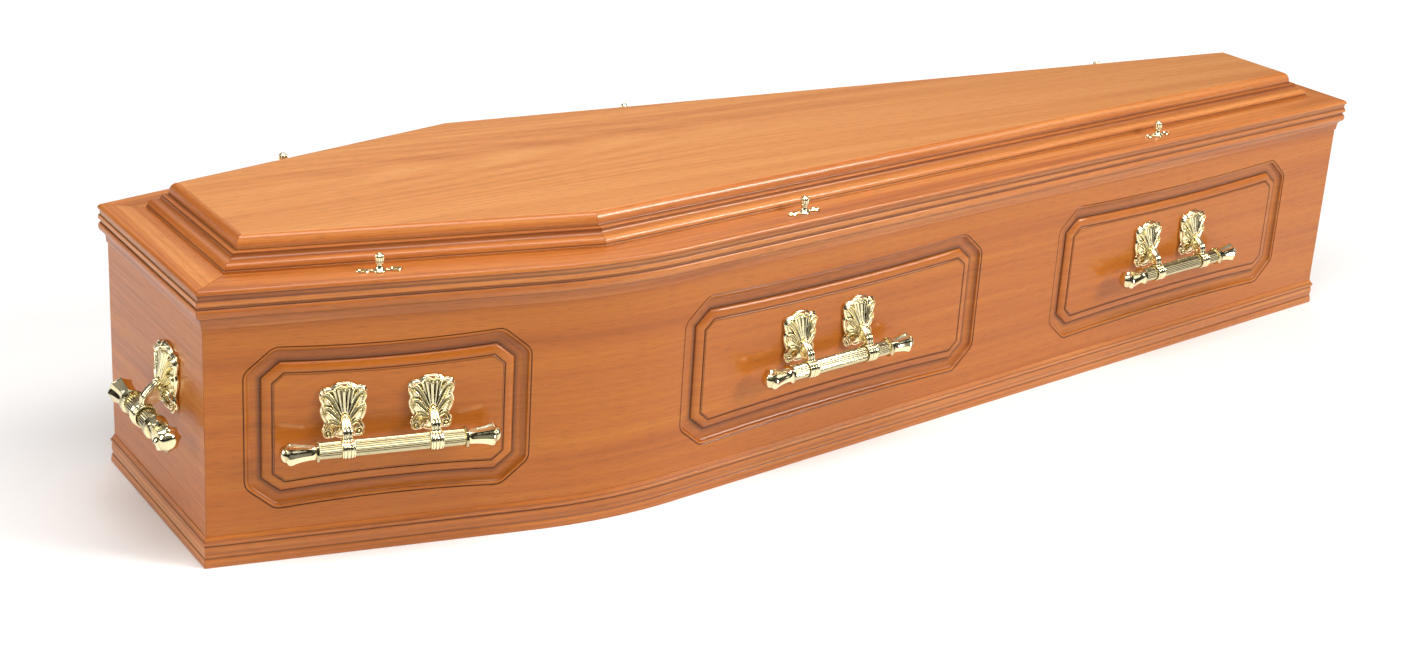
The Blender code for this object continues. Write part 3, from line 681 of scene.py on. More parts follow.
# Name, start from the corner along the wall, length, and the corner and directions of its run.
PANELS = (
    ("head", 0.044, 0.3455, HEAD_CORNER, ALONG_HEAD, OUT_HEAD),
    ("middle", 0.107, 0.534, SHOULDER, ALONG_FOOT, OUT_FOOT),
    ("foot", 0.801, 0.534, SHOULDER, ALONG_FOOT, OUT_FOOT),
)
channel_profile = (
    [(0.0, OVERRUN), (0.0, -0.0010), (0.0005, -0.0013)]
    + quarter((0.0008, -0.0011), (0.0024, -0.0002), "up", 4)
    + quarter((0.0026, -0.0002), (0.0043, -0.0014), "out", 5)
    + quarter((0.0044, -0.0018), (0.0125, -DEPTH), "up", 9)
    + [(0.0140, -DEPTH), (0.0202, -DEPTH), (0.0206, -DEPTH - 0.0004), (0.0214, -DEPTH - 0.0002)]
    + quarter((0.0216, -DEPTH + 0.0004), (0.0322, -0.0008), "up", 10)
    + [(0.0330, -0.0010), (0.0334, -0.0019), (0.0340, -0.0018)]
    + quarter((0.0342, -0.0012), (0.0364, -0.0001), "up", 5)
    + [(0.0365, OVERRUN)]
)


def board_side(profile):
    """The channel as a hollow of a closed board: the profile, then round behind it."""
    beyond = profile[-1][0] + BOARD_MARGIN
    return list(profile) + [
        (beyond, OVERRUN), (beyond, BEHIND_BOARD), (-BOARD_MARGIN, BEHIND_BOARD), (-BOARD_MARGIN, OVERRUN)]


def panel_outline(start, length):
    """The octagon as (along the wall, up), from its lower edge round to its head end."""
    low = PANEL_FOOT
    high = PANEL_FOOT + PANEL_HEIGHT
    left = start + CHAMFER_ALONG
    right = start + length - CHAMFER_ALONG
    shares = [k / BOW_STEPS for k in range(BOW_STEPS + 1)]
    bows = [PANEL_BOW * 4 * share * (1 - share) for share in shares]
    bottom = [Vector((left + (right - left) * s, low + bow)) for s, bow in zip(shares, bows)]
    top = [Vector((right - (right - left) * s, high - bow)) for s, bow in zip(shares, bows)]
    right_edge = [Vector((start + length, low + CHAMFER_UP)), Vector((start + length, high - CHAMFER_UP))]
    left_edge = [Vector((start, high - CHAMFER_UP)), Vector((start, low + CHAMFER_UP))]
    return bottom + right_edge + top + left_edge


def channel_cutter(name, start, length, corner, along, out):
    """The cutter is the channel's own shape, so what is hollow in the board is proud on it."""
    outline = panel_outline(start, length)
    sections = []
    for i, point in enumerate(outline):
        before = (point - outline[i - 1]).normalized()
        after = (outline[(i + 1) % len(outline)] - point).normalized()
        turned = (Vector((-before.y, before.x)), Vector((-after.y, after.x)))
        inward = mitre(*turned)
        pivot = point + inward * CUTTER_RADIUS
        steps = ROUND_STEPS if before.dot(after) < CORNER_COSINE else 1
        for k in range(steps):
            share = k / (steps - 1) if steps > 1 else 0.5
            facing = turned[0].lerp(turned[1], share).normalized()
            section = []
            for inset, height in channel_profile:
                arm = facing if inset < CUTTER_RADIUS else inward
                spot = pivot + arm * (inset - CUTTER_RADIUS)
                place = corner + along * spot.x + out * height
                section.append((place.x, place.y, spot.y))
            sections.append(section)
    along_grain = [float(k) for k in range(len(sections) + 1)]
    # The channel's hollows are darkened too: partly real stain, partly painted shade.
    stains_and_shade = stain_and_shade_of([(-inset, height) for inset, height in reversed(board_side(channel_profile))])
    stains_and_shade = list(reversed(stains_and_shade))[:len(channel_profile)]
    mesh = loft(name, sections, along_grain, distances(channel_profile), ring=True, stains_and_shade=stains_and_shade)
    bm = bmesh.new()
    bm.from_mesh(mesh)
    bmesh.ops.remove_doubles(bm, verts=bm.verts, dist=0.000001)
    bm.to_mesh(mesh)
    bm.free()
    shade(mesh)
    return in_scene(name, mesh)


# %% [markdown]
# After the cut, the grain map is drawn again, as if the veneer were pressed on in one sheet:
# along the wall from the head, round the bend, and up. The far side is the near one mirrored.

# %% Routed sides
def distance_along_side(x):
    """How far along the right wall a point lies, from its X."""
    if x < SHOULDER.x:
        return (x - HEAD_CORNER.x) / ALONG_HEAD.x
    return (SHOULDER - HEAD_CORNER).length + (x - SHOULDER.x) / ALONG_FOOT.x


def map_side_grain(mesh, start):
    layer = mesh.uv_layers["grain"]
    for loop in mesh.loops:
        x, _, z = mesh.vertices[loop.vertex_index].co
        layer.data[loop.index].uv = (start + distance_along_side(x), z)


def cut_from(name, target, cutters):
    """The target with the cutters taken out of it, as a new mesh."""
    for cutter in cutters:
        step = target.modifiers.new(cutter.name, "BOOLEAN")
        step.operation = "DIFFERENCE"
        step.solver = "EXACT"
        step.object = cutter
    bpy.context.view_layer.update()
    cut = bpy.data.meshes.new_from_object(target.evaluated_get(bpy.context.evaluated_depsgraph_get()))
    cut.name = name
    for done in [target] + cutters:
        bpy.data.objects.remove(done, do_unlink=True)
    return cut


wall_profile = [(0.0, 0.0), (0.0, BOX_HEIGHT - GAP), (-WALL, BOX_HEIGHT - GAP), (-WALL, 0.0)]
blank = in_scene("blank", moulding_mesh("blank", round_runs["right"], wall_profile))
cutters = [channel_cutter("channel_" + panel[0], *panel[1:]) for panel in PANELS]
right_mesh = cut_from("routed_right_side", blank, cutters)
right_mesh.materials.clear()
left_mesh = right_mesh.copy()
left_mesh.name = "routed_left_side"
for vertex in left_mesh.vertices:
    vertex.co.y = -vertex.co.y
for mesh, start, node in ((right_mesh, 60.0, "right_side"), (left_mesh, 71.0, "left_side")):
    map_side_grain(mesh, start)
    shade(mesh, 25.0)
    side = add_piece("routed_" + node, mesh, side_veneer, "lacquered_wood", node)
    side.modifiers.new("flat faces first", "WEIGHTED_NORMAL").keep_sharp = True
print("routed side", len(right_mesh.polygons), "faces")

# %% [markdown]
# The two ends and the base are plain boards, and their solids are as fine as they need to be.
# They stay, and only take their finish.

# %% Ends and base keep their solids
for node, finish in (("head_end", end_veneer), ("foot_end", end_veneer), ("base_board", bare_board)):
    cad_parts[node].data.materials.clear()
    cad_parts[node].data.materials.append(finish)

# %% [markdown]
# Castings are made of tapering rolls: ribs, scrolls and rims. A tube is swept along a smooth curve
# through a few knots, each with its own radius. Several of them over a plate, melted together
# by a voxel remesh and smoothed, look like one polished casting.

# %% Smooth curves and tubes
def smooth_curve(knots, steps, closed=False):
    """A Catmull-Rom curve through the knots, which may hold any number of values each."""
    count = len(knots)
    curve = []
    for i in range(count if closed else count - 1):
        one = knots[(i - 1) % count] if closed else knots[max(i - 1, 0)]
        two = knots[i]
        three = knots[(i + 1) % count]
        four = knots[(i + 2) % count] if closed else knots[min(i + 2, count - 1)]
        for k in range(steps):
            t = k / steps
            curve.append(tuple(
                0.5 * (2 * b + (c - a) * t + (2 * a - 5 * b + 4 * c - d) * t * t
                       + (3 * b - a - 3 * c + d) * t ** 3)
                for a, b, c, d in zip(one, two, three, four)))
    return curve if closed else curve + [tuple(knots[-1])]


def turns_of(count):
    """The angles of equal steps round a circle."""
    return [2 * math.pi * k / count for k in range(count)]


def round_form(sides):
    """A circle of radius 1, as (across, up)."""
    return [(math.cos(turn), math.sin(turn)) for turn in turns_of(sides)]


def skin(bm, rings, closed=False):
    """Joins rings of vertices with faces. The first and last ring are capped, or joined too."""
    pairs = list(zip(rings, rings[1:]))
    if closed:
        pairs.append((rings[-1], rings[0]))
    else:
        bm.faces.new(rings[0])
        bm.faces.new(list(reversed(rings[-1])))
    for first, second in pairs:
        for j in range(len(first)):
            k = (j + 1) % len(first)
            bm.faces.new((first[j], second[j], second[k], first[k]))


def sweep(bm, curve, reference, form=None, closed=False):
    """A tube along a curve of (x, y, z, radius). reference is never along the curve. form is
    the section as (across, up) in radii, a circle at first."""
    form = form or round_form(10)
    rings = []
    count = len(curve)
    for i, (x, y, z, radius) in enumerate(curve):
        before = curve[i - 1] if closed or i else curve[0]
        after = curve[(i + 1) % count] if closed or i + 1 < count else curve[-1]
        along = (Vector(after[:3]) - Vector(before[:3])).normalized()
        side = along.cross(reference).normalized()
        up = side.cross(along)
        rings.append([bm.verts.new(Vector((x, y, z)) + (side * a + up * b) * radius) for a, b in form])
    skin(bm, rings, closed)


def lathe(bm, profile, place, sides, ripple=None):
    """A closed body of revolution. profile is (height, radius), and place turns x, y, height
    into a point. ripple gives a factor for the radius from the angle and the step."""
    rings = []
    for i, (height, radius) in enumerate(profile):
        ring = []
        for turn in turns_of(sides):
            r = radius * (ripple(turn, i) if ripple else 1.0)
            ring.append(bm.verts.new(place(r * math.cos(turn), r * math.sin(turn), height)))
        rings.append(ring)
    skin(bm, rings)


# %% [markdown]
# Where the points round a vertex lie above its tangent plane, the surface is hollow there, and
# one over their mean curvature is the radius of the hollow. A casting's map of painted shade says
# how much tighter than HOLLOW_RADIUS that is.

# %% Find the hollows
HOLLOW_RADIUS = 0.0018


def mark_hollows(mesh, passes=2, most=0.85):
    """Makes the map of painted shade in the hollows. passes spread it to the neighbours, and most is its
    upper limit.
    """
    bm = bmesh.new()
    bm.from_mesh(mesh)
    bm.normal_update()
    stains_and_shade = []
    for vert in bm.verts:
        reaches = [edge.other_vert(vert).co - vert.co for edge in vert.link_edges]
        bends = [2 * reach.dot(vert.normal) / max(reach.length_squared, 1e-10) for reach in reaches]
        stains_and_shade.append(sum(bends) / max(len(bends), 1) * HOLLOW_RADIUS)
    for _ in range(passes):
        stains_and_shade = [
            0.5 * stains_and_shade[v.index] + 0.5 * sum(stains_and_shade[e.other_vert(v).index] for e in v.link_edges)
            / max(len(v.link_edges), 1) for v in bm.verts]
    bm.free()
    layer = mesh.uv_layers.new(name="stain_and_shade")
    for loop in mesh.loops:
        layer.data[loop.index].uv = (min(most, max(0.0, stains_and_shade[loop.vertex_index])), 0.0)


# %% [markdown]
# A bracket is a back plate like an acanthus shell, with a strap that drops over the bar into a
# ring. Its sizes here are millimetres from the knot: across, and up. A rib and a leaf are knots
# of across, up and radius, on one half of the shell.

# %% Sizes of the shell bracket
MM = 0.001
ACROSS = Vector((1.0, 0.0, 0.0))
OUTWARD = Vector((0.0, 1.0, 0.0))
KNOT_HEIGHT = 0.175
STAND_OFF = 0.028
BAR_DROP = 0.026

SHELL_EDGE = (
    (0, 47.5), (8.2, 46.6), (12.6, 44.2), (15.6, 42.0), (20.1, 42.2), (25.6, 40.2), (28.8, 34.6),
    (28.0, 28.4), (25.9, 23.2), (28.0, 16.5), (27.3, 9.5), (24.6, 2.5), (21.8, -3.2), (24.6, -8.0),
    (25.8, -13.5), (23.2, -19.2), (17.8, -22.6), (13.2, -21.8), (9.6, -20.0), (5.2, -23.2),
)
# The share of the edge at which each ring of the plate lies, and its height where that is flat.
PLATE_RINGS = ((1.0, 0.3), (1.0, 2.6), (0.92, 3.0), (0.8, 0.0), (0.6, 0.0), (0.4, 0.0), (0.2, 0.0))
BORDER_RADIUS = 2.3
BORDER_HEIGHT = 2.8
BORDER_REACH = 1.0 - BORDER_RADIUS / 28.0
PLATE_EDGE = 3.0
SWELLING = 9.5
SWELLING_ACROSS = 29.0
SWELLING_UP = 48.0
SWELLING_DOWN = 25.0
RIB_LIFT = 0.9
LEAF_LIFT = 0.7
SHELL_RIBS = (
    ((0.0, 12, 1.4), (0.0, 26, 2.0), (0.0, 38.0, 2.3)),
    ((1.9, 11, 1.1), (4.3, 25, 1.5), (6.4, 38.4, 1.9)),
    ((3.0, 10, 1.1), (7.6, 24, 1.5), (11.4, 39.4, 1.9)),
    ((4, -9, 1.3), (7.0, -13, 1.6), (8.8, -17.4, 1.3)),
)
SHELL_LEAVES = (
    ((4.0, 7, 1.6), (9.0, 17, 3.0), (14.6, 27.6, 4.2),
     (20.0, 33.4, 4.6), (23.8, 31.6, 3.4), (23.6, 27.6, 1.8)),
    ((5.0, 2, 1.5), (11.0, 8.5, 2.8), (16.6, 15.0, 3.8),
     (21.0, 16.4, 3.6), (22.8, 12.4, 2.7), (21.6, 8.0, 1.6)),
    ((5.0, -4, 1.3), (10.0, -2.0, 2.3), (14.4, -0.2, 2.8),
     (18.0, -2.0, 2.7), (20.6, -7.0, 2.2), (22.0, -11.8, 1.6)),
)
HOLLOW_LEAF = (
    (-1.0, -1.0), (-1.0, 0.5), (-0.82, 0.95), (-0.62, 0.8), (-0.3, -0.1),
    (0.3, -0.1), (0.62, 0.8), (0.82, 0.95), (1.0, 0.5), (1.0, -1.0),
)
VOLUTE_MIDDLE = (18.2, -15.4)
VOLUTE_RADIUS = 5.0
KEYSTONE = ((-7.5, 46.2), (7.5, 46.2), (3.2, 38.5), (-3.2, 38.5))

# %% [markdown]
# The plate swells from a thin edge to a high knot, and each roll lies on that swelling. Drawn on
# one half, each roll is repeated on the other.

# %% Shell plate and its rolls
def swelling(x, z):
    """How far out of the wall the shell stands, in millimetres, at x across and z up."""
    reach = math.hypot(x / SWELLING_ACROSS, z / (SWELLING_UP if z > 0 else SWELLING_DOWN))
    return PLATE_EDGE + SWELLING * max(0.0, 1.0 - reach) ** 1.15


def rolled(bm, knots, lift, form):
    """A roll through knots of (across, up, radius) on each half, lifted off the swelling."""
    for flip in (1, -1):
        path = [(flip * x * MM, (swelling(x, z) + lift) * MM, z * MM, r * MM) for x, z, r in knots]
        sweep(bm, smooth_curve(path, 7), OUTWARD, form)


def back_plate(bm):
    edge = list(SHELL_EDGE) + [(-x, z) for x, z in reversed(SHELL_EDGE[1:])]
    outline = smooth_curve(edge, 5, closed=True)
    rings = []
    for share, flat in PLATE_RINGS:
        ring = []
        for x, z in outline:
            height = flat if flat else swelling(x * share, z * share)
            ring.append(bm.verts.new((x * share * MM, height * MM, z * share * MM)))
        rings.append(ring)
    skin(bm, rings)
    border = [
        (x * BORDER_REACH * MM, BORDER_HEIGHT * MM, z * BORDER_REACH * MM, BORDER_RADIUS * MM)
        for x, z in outline]
    sweep(bm, border, OUTWARD, closed=True)


def bead(bm, x, y, z, radius):
    made = bmesh.ops.create_icosphere(bm, subdivisions=2, radius=radius * MM)
    for vert in made["verts"]:
        vert.co += Vector((x, y, z)) * MM


def scrolls(bm):
    """A round scroll with a bead in it, low on each half."""
    middle_x, middle_z = VOLUTE_MIDDLE
    for flip in (1, -1):
        scroll = []
        for turn in turns_of(24):
            x = middle_x + VOLUTE_RADIUS * math.cos(turn)
            z = middle_z + VOLUTE_RADIUS * math.sin(turn)
            scroll.append((flip * x * MM, 4.9 * MM, z * MM, 1.7 * MM))
        sweep(bm, scroll, OUTWARD, round_form(8), closed=True)
        bead(bm, flip * middle_x, 5.0, middle_z, 2.1)


def keystone(bm):
    """A low pyramid in the middle of the upper edge."""
    apex = bm.verts.new(Vector((0.0, 9.4, 43.6)) * MM)
    base = [bm.verts.new(Vector((x, 3.0, z)) * MM) for x, z in KEYSTONE]
    for j in range(4):
        bm.faces.new((base[j], base[(j + 1) % 4], apex))
    bm.faces.new(list(reversed(base)))


# %% [markdown]
# The strap is three reeds over a thin web, and the ring is a sleeve with four thin rims. Both
# are drawn round the bar's own middle line.

# %% Strap and ring
STRAP_REEDS = ((-4.0, 2.0), (0.0, 2.5), (4.0, 2.0))
STRAP_RADIUS = 11.6
WEB = ((6.0, 2.0), (12.0, 3.0), (19.0, 0.5), (25.0, -6.0), (27.0, -14.0), (20.0, -17.5), (8.0, -11.0))
WEB_HALF_WIDTH = 3.0
RIMS = ((-6.9, 11.4, 1.1), (6.9, 11.4, 1.1), (-2.4, 11.2, 1.0), (2.4, 11.2, 1.0))
SLEEVE = ((-7.2, 10.6), (-7.2, 12.0), (7.2, 12.0), (7.2, 10.6))
RING_STEPS = 48


def round_bar(turn):
    """The direction away from the bar's middle line, at an angle from straight up."""
    return Vector((0.0, math.sin(turn), math.cos(turn)))


def strap_and_ring(bm):
    """Three reeds from the knot, over the bar and down its front, and the ring round the bar."""
    bar = Vector((0.0, STAND_OFF, -BAR_DROP))
    for across, size in STRAP_REEDS:
        path = [
            (0.4 * across * MM, 8.0 * MM, 8.0 * MM, 1.5 * MM),
            (0.7 * across * MM, 14.0 * MM, 6.0 * MM, size * MM),
            (0.9 * across * MM, 20.5 * MM, 1.5 * MM, 1.05 * size * MM),
            (across * MM, 27.0 * MM, -5.5 * MM, size * MM),
        ]
        for degrees in (10, 40, 70, 100, 130):
            spot = bar + round_bar(math.radians(degrees)) * (STRAP_RADIUS * MM)
            path.append((across * MM, spot.y, spot.z, 0.85 * size * MM))
        sweep(bm, smooth_curve(path, 6), ACROSS)
    skin(bm, [
        [bm.verts.new(Vector((x, y, z)) * MM) for y, z in WEB]
        for x in (-WEB_HALF_WIDTH, WEB_HALF_WIDTH)])
    for x, radius, thick in RIMS:
        spots = [bar + round_bar(turn) * radius * MM for turn in turns_of(RING_STEPS)]
        rim = [(x * MM, spot.y, spot.z, thick * MM) for spot in spots]
        sweep(bm, rim, ACROSS, round_form(8), closed=True)
    sleeve = [
        [bm.verts.new(bar + round_bar(turn) * radius * MM + ACROSS * x * MM) for x, radius in SLEEVE]
        for turn in turns_of(RING_STEPS)]
    skin(bm, sleeve, closed=True)


# %% [markdown]
# All of these pieces overlap. A voxel remesh melts them into one skin, smoothing it rounds the
# seams as a casting's are, and thinning it keeps the triangles few.

# %% Melt the bracket into one casting
VOXEL = 0.00042
POLISH_ROUNDS = 4
KEPT_SHARE = 0.2


def melted(name, bm):
    """The pieces in bm as one casting: remeshed, smoothed and thinned."""
    bmesh.ops.recalc_face_normals(bm, faces=bm.faces)
    holder = in_scene(name, mesh_of(name, bm))
    remesh = holder.modifiers.new("melt", "REMESH")
    remesh.mode = "VOXEL"
    remesh.voxel_size = VOXEL
    polish = holder.modifiers.new("polish", "SMOOTH")
    polish.factor = 0.5
    polish.iterations = POLISH_ROUNDS
    thin = holder.modifiers.new("thin", "DECIMATE")
    thin.ratio = KEPT_SHARE
    bpy.context.view_layer.update()
    cast = bpy.data.meshes.new_from_object(holder.evaluated_get(bpy.context.evaluated_depsgraph_get()))
    cast.name = name
    bpy.data.objects.remove(holder, do_unlink=True)
    cast.materials.clear()
    mark_hollows(cast)
    shade(cast, 60.0)
    return cast


shell = bmesh.new()
back_plate(shell)
for knots in SHELL_RIBS:
    rolled(shell, knots, RIB_LIFT, round_form(10))
for knots in SHELL_LEAVES:
    rolled(shell, knots, LEAF_LIFT, HOLLOW_LEAF)
scrolls(shell)
bead(shell, 0.0, 14.6, 8.4, 3.4)
keystone(shell)
strap_and_ring(shell)
bracket_mesh = melted("cast_bracket", shell)
for vertex in bracket_mesh.vertices:
    vertex.co.z += KNOT_HEIGHT
print("bracket", len(bracket_mesh.polygons), "faces")

# %% [markdown]
# A bar is a reeded tube between two collars, and each end flares into a tulip with hollow sides
# and a round button. A lathe makes it, with a ripple that scallops the radius round the bar.

# %% Handle bars
SIDE_BAR_LENGTH = 0.264
END_BAR_LENGTH = 0.180
REEDS = 22
REED_DEPTH = 0.07
SCALLOPS = 8
TULIP_DEPTH = 0.12
COLLAR_DEPTH = 0.05
# Distance from the end of the bar, radius, and the form that the ripple gives it there.
CAP_END = (
    (0.0, 0.8, "button"), (0.3, 3.6, "button"), (1.2, 6.4, "button"), (2.8, 8.6, "button"),
    (4.8, 10.0, "button"), (6.8, 10.7, "button"), (7.4, 10.4, "button"), (8.2, 12.4, "tulip"),
    (10.0, 13.9, "tulip"), (12.0, 14.5, "tulip"), (14.5, 13.9, "tulip"), (18.5, 12.5, "tulip"),
    (24.0, 11.2, "tulip"), (30.0, 10.4, "tulip"), (35.0, 10.0, "tulip"), (39.0, 9.9, "round"),
    (40.2, 10.1, "round"),
    (41.0, 12.0, "collar"), (41.7, 13.2, "collar"), (44.8, 13.2, "collar"), (45.5, 12.0, "collar"),
    (46.0, 9.9, "reed"), (47.0, 10.0, "reed"),
)


def bar_mesh(name, length):
    """A bar along X, off a wall at Y 0. Its middle line lies BAR_DROP under the knot."""
    half = [(-length / 2 + x * MM, radius * MM, form) for x, radius, form in CAP_END]
    profile = half + [(-x, radius, form) for x, radius, form in reversed(half)]
    forms = [form for _, _, form in profile]

    def scalloped(turn, step):
        form = forms[step]
        if form == "reed":
            return 1.0 - REED_DEPTH * (1.0 - abs(math.cos(REEDS / 2 * turn)))
        if form == "tulip":
            return 1.0 - TULIP_DEPTH * abs(math.sin(SCALLOPS / 2 * turn))
        if form == "collar":
            return 1.0 - COLLAR_DEPTH * abs(math.sin(SCALLOPS / 2 * turn))
        return 1.0

    bm = bmesh.new()
    lathe(bm, [(x, r) for x, r, _ in profile],
          lambda a, b, x: (x, STAND_OFF + a, KNOT_HEIGHT - BAR_DROP + b), 8 * REEDS, scalloped)
    mesh = mesh_of(name, bm)
    mark_hollows(mesh, 0, 0.5)
    shade(mesh, 40.0)
    return mesh


side_bar = bar_mesh("plated_side_bar", SIDE_BAR_LENGTH)
print("side bar", len(side_bar.polygons), "faces")

# %% [markdown]
# Bars and brackets are placed from the solids of the bars: the middle of a bar's box is the
# middle of its handle, and the wall that it is on gives the direction.

# %% Place the handles
BRACKET_SPACING = 0.105
END_SIZE = 1.18
END_KNOT_HEIGHT = 0.190


def enlarged(mesh, name):
    """A copy for an end handle: larger, and with its knot at that handle's height."""
    larger = mesh.copy()
    larger.name = name
    for vertex in larger.vertices:
        x, y, z = vertex.co * END_SIZE
        vertex.co = (x, y, z + END_KNOT_HEIGHT - KNOT_HEIGHT * END_SIZE)
    return larger


end_bar = enlarged(bar_mesh("plated_short_bar", END_BAR_LENGTH / END_SIZE), "plated_end_bar")
end_bracket = enlarged(bracket_mesh, "cast_end_bracket")


def on_wall(name, mesh, node, spot, angle):
    """A copy of the mesh, moved to its place, so that its box is square to the coffin."""
    placed = mesh.copy()
    placed.transform(Matrix.Translation((spot.x, spot.y, 0.0)) @ Matrix.Rotation(angle, 4, "Z"))
    add_piece(name, placed, plated_gold, "plated_metal", node)


def bar_middle(node):
    low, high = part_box(node)
    return Vector(((low.x + high.x) / 2, (low.y + high.y) / 2))


for side, flip in (("right", 1), ("left", -1)):
    for which, _, _, _, along, out in PANELS:
        along_side = Vector((along.x, along.y * flip))
        out_side = Vector((out.x, out.y * flip))
        spot = bar_middle(f"handle_bar_{side}_{which}") - out_side * STAND_OFF
        angle = math.atan2(out_side.y, out_side.x) - math.pi / 2
        on_wall(f"plated_bar_{side}_{which}", side_bar, f"handle_bar_{side}_{which}", spot, angle)
        for letter, shift in (("a", -BRACKET_SPACING / 2), ("b", BRACKET_SPACING / 2)):
            node = f"bracket_{side}_{which}_{letter}"
            on_wall("cast_" + node, bracket_mesh, node, spot + along_side * shift, angle)
for which, out in (("head", HEADWARD), ("foot", FOOTWARD)):
    spot = bar_middle(f"handle_bar_{which}_end") - out * STAND_OFF * END_SIZE
    angle = math.atan2(out.y, out.x) - math.pi / 2
    on_wall(f"plated_bar_{which}_end", end_bar, f"handle_bar_{which}_end", spot, angle)
    on_wall(f"cast_bracket_{which}_end", end_bracket, f"bracket_{which}_end", spot, angle)

# %% [markdown]
# A lid screw has a thin plate with a leaf at each end, a ring between each leaf and the boss, a
# boss that flares like a bell, a thin neck, and a ribbed knob like a small crown.

# %% Lid screws
UPWARD = Vector((0.0, 0.0, 1.0))
LEAF_EDGE = ((11.0, 0.0), (13.5, 2.6), (17.5, 4.3), (22.0, 3.9), (25.6, 1.9), (27.2, 0.0))
LEAF_MIDDLE = 19.0
LEAF_RING = (9.4, 2.0)
KNOB_RIB_DEPTH = 0.16
BELL = (
    (0.4, 8.2), (1.2, 8.2), (1.9, 7.6), (2.6, 6.4), (3.6, 5.2), (5.2, 4.2), (7.2, 3.6), (9.4, 3.4),
)
KNOB = (
    (9.0, 2.6), (9.6, 4.2), (10.4, 5.2), (11.4, 5.5), (12.4, 5.1), (13.2, 5.3), (15.0, 5.75),
    (17.5, 5.8), (19.4, 5.3), (20.6, 4.4), (21.2, 3.3), (21.8, 3.0), (22.6, 2.2), (23.0, 0.8),
)


def leaf(bm, flip):
    """A dished leaf with a rim and a vein, and the ring that joins it to the boss."""
    edge = list(LEAF_EDGE) + [(x, -y) for x, y in reversed(LEAF_EDGE[1:-1])]
    outline = smooth_curve(edge, 5, closed=True)
    rings = []
    for share, height in ((1.0, 0.3), (1.0, 1.3), (0.75, 0.9), (0.3, 0.7)):
        rings.append([
            bm.verts.new((flip * (LEAF_MIDDLE + (x - LEAF_MIDDLE) * share) * MM, y * share * MM, height * MM))
            for x, y in outline])
    skin(bm, rings)
    rim = [(flip * x * MM, y * MM, 1.4 * MM, 0.62 * MM) for x, y in outline]
    sweep(bm, rim, UPWARD, round_form(6), closed=True)
    vein = [(flip * x * MM, 0.0, 1.2 * MM, 0.55 * MM) for x in (12.0, 16.0, 20.0, 25.0)]
    sweep(bm, vein, UPWARD, round_form(6))
    middle, radius = LEAF_RING
    ring = [
        (flip * (middle + radius * math.cos(turn)) * MM, radius * math.sin(turn) * MM, 1.3 * MM, 0.8 * MM)
        for turn in turns_of(20)]
    sweep(bm, ring, UPWARD, round_form(8), closed=True)


def ribbed(turn, step):
    """Ten ribs round the widest steps of the knob."""
    depth = KNOB_RIB_DEPTH if 5 <= step <= 9 else 0.0
    return 1.0 - depth * abs(math.sin(5 * turn)) ** 3


def screw_mesh(name):
    bm = bmesh.new()
    for flip in (1, -1):
        leaf(bm, flip)
    lathe(bm, [(z * MM, r * MM) for z, r in BELL], lambda a, b, z: (a, b, z), 40)
    lathe(bm, [(z * MM, r * MM) for z, r in KNOB], lambda a, b, z: (a, b, z), 60, ribbed)
    bmesh.ops.recalc_face_normals(bm, faces=bm.faces)
    mesh = mesh_of(name, bm)
    mark_hollows(mesh, 0)
    shade(mesh, 50.0)
    return mesh


screw = screw_mesh("plated_lid_screw")
for side, flip in (("right", 1), ("left", -1)):
    for which in ("head", "middle", "foot"):
        node = f"lid_screw_{side}_{which}"
        low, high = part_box(node)
        along = ALONG_HEAD if high.x < SHOULDER.x else ALONG_FOOT
        piece = add_piece("plated_" + node, screw, plated_gold, "plated_metal", node)
        piece.location = ((low.x + high.x) / 2, (low.y + high.y) / 2, LID_TOP)
        piece.rotation_euler = (0.0, 0.0, math.atan2(along.y, along.x) * flip)
print("screw", len(screw.polygons), "faces")

# %% [markdown]
# The photograph is a catalogue cut-out on white: a long lens from above the head end, with broad
# soft light. The camera was fitted to the corners of the box. Its shift lets the picture's centre
# lie lower than the camera points, as in a cropped photograph.

# %% Camera
camera_data = bpy.data.cameras.new("camera")
camera_data.sensor_width = 36.0
camera_data.lens = 54.335
camera_data.shift_y = -0.062
camera = in_scene("camera", camera_data)
camera.location = (-1.780, -2.3018, 1.2508)
camera.rotation_euler = [math.radians(a) for a in (70.120, -3.508, -33.780)]
bpy.context.scene.camera = camera

# %% [markdown]
# The cut-out stands on nothing but its own soft shadow. A wide pale floor catches that shadow.

# %% Floor
floor_mesh = bpy.data.meshes.new("floor")
floor_mesh.from_pydata([(-30, -30, 0), (30, -30, 0), (30, 30, 0), (-30, 30, 0)], [], [(0, 1, 2, 3)])
floor = in_scene("floor", floor_mesh)
floor_paint = bpy.data.materials.new("pale_floor")
floor_paint.use_nodes = True
floor_shader = floor_paint.node_tree.nodes["Principled BSDF"]
floor_shader.inputs["Base Color"].default_value = linear("#F4F3F1")
floor_shader.inputs["Roughness"].default_value = 0.7
floor_mesh.materials.append(floor_paint)

# %% [markdown]
# Plated metal shows what stands round it, so the studio isn't evenly white: the room is bright
# overhead, darker at eye level, and three large soft boxes give the pale edges and streaks. Four
# more stand far off and light the floor alone, so that it is white out to the picture's edges.

# %% Studio light
ROOM_LIGHT = 0.42

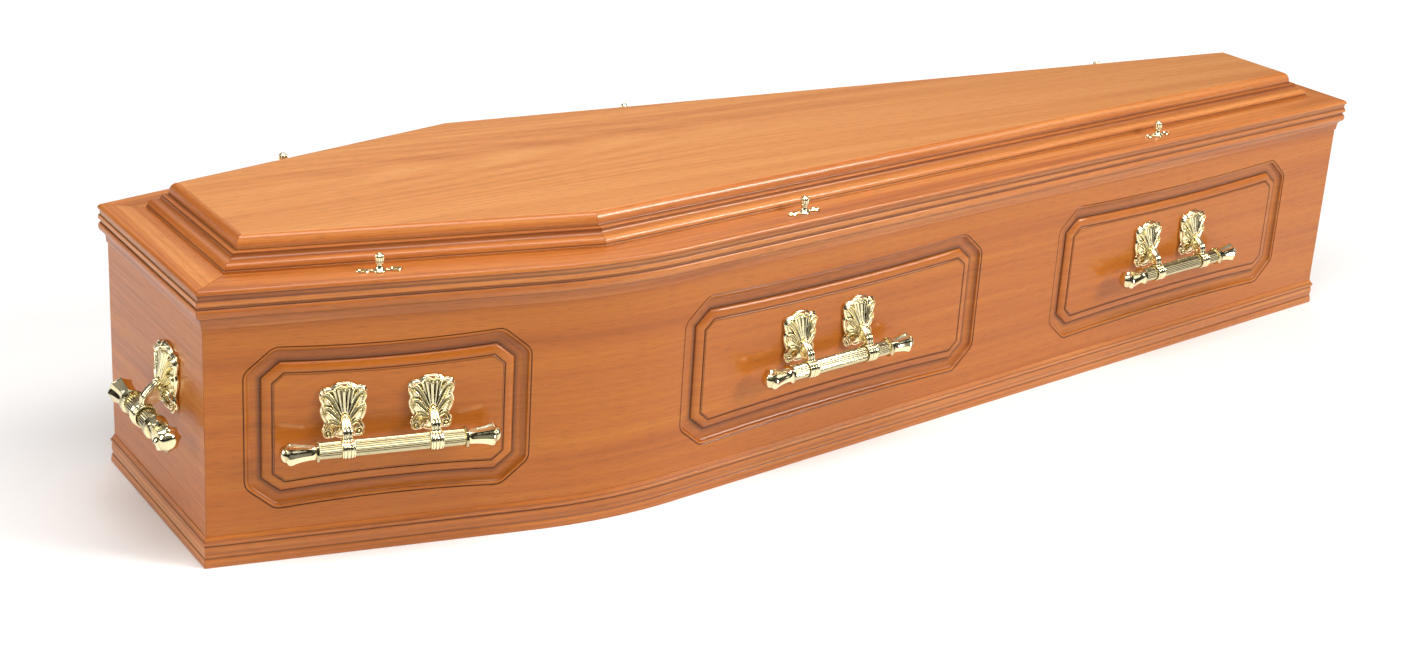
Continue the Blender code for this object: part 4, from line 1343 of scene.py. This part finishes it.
world = bpy.data.worlds.new("studio")
bpy.context.scene.world = world
world.use_nodes = True
room = world.node_tree
look = add_node(room, "ShaderNodeTexCoord")
height = add_node(room, "ShaderNodeSeparateXYZ", {0: look.outputs["Generated"]})
level = add_node(room, "ShaderNodeMapRange", {0: height.outputs[2], 1: -1.0, 2: 1.0, 3: 0.0, 4: 1.0})
walls = add_node(room, "ShaderNodeValToRGB", {0: level.outputs[0]}, stops=(
    (0.0, linear("#E8E8E8")), (0.49, linear("#6A6662")), (0.53, linear("#35312D")),
    (0.64, linear("#3A3632")), (0.72, linear("#B0AEAC")), (1.0, linear("#ECECEC"))))
room.links.new(walls.outputs[0], room.nodes["Background"].inputs[0])
room.nodes["Background"].inputs[1].default_value = ROOM_LIGHT


def soft_box(name, place, target, width, height, power, spread=180):
    light = bpy.data.lights.new(name, "AREA")
    light.shape = "RECTANGLE"
    light.size = width
    light.size_y = height
    light.energy = power
    light.spread = math.radians(spread)
    made = in_scene(name, light)
    made.location = place
    aim = Vector(target) - Vector(place)
    made.rotation_euler = aim.to_track_quat("-Z", "Y").to_euler()


soft_box("soft_box_overhead", (-0.4, -0.9, 2.6), (-0.2, -0.1, 0.2), 3.2, 1.0, 68.0)
soft_box("soft_box_right_front", (4.4, -4.6, 3.6), (0.1, 0.0, 0.2), 2.0, 1.5, 290.0)
soft_box("soft_box_head", (-3.4, 0.2, 1.6), (-0.9, 0.0, 0.1), 1.4, 1.6, 34.0)
soft_box("soft_box_backdrop", (3.0, 7.0, 4.0), (2.6, 6.0, 0.0), 9.0, 5.0, 620.0, 95)
soft_box("soft_box_floor_head", (-11.0, 1.0, 4.0), (-10.5, 1.0, 0.0), 6.0, 10.0, 420.0, 90)
soft_box("soft_box_floor_foot", (12.0, -2.0, 4.0), (11.5, -2.0, 0.0), 6.0, 10.0, 420.0, 90)
soft_box("soft_box_floor_front", (0.0, -9.5, 4.0), (0.0, -9.0, 0.0), 12.0, 5.0, 420.0, 90)

# %% [markdown]
# The plain sRGB view keeps the colours as they were picked.

# %% View
bpy.context.scene.view_settings.view_transform = "Standard"

# %% [markdown]
# The scene is brought up to date at the end.

# %% Update the scene
bpy.context.view_layer.update()
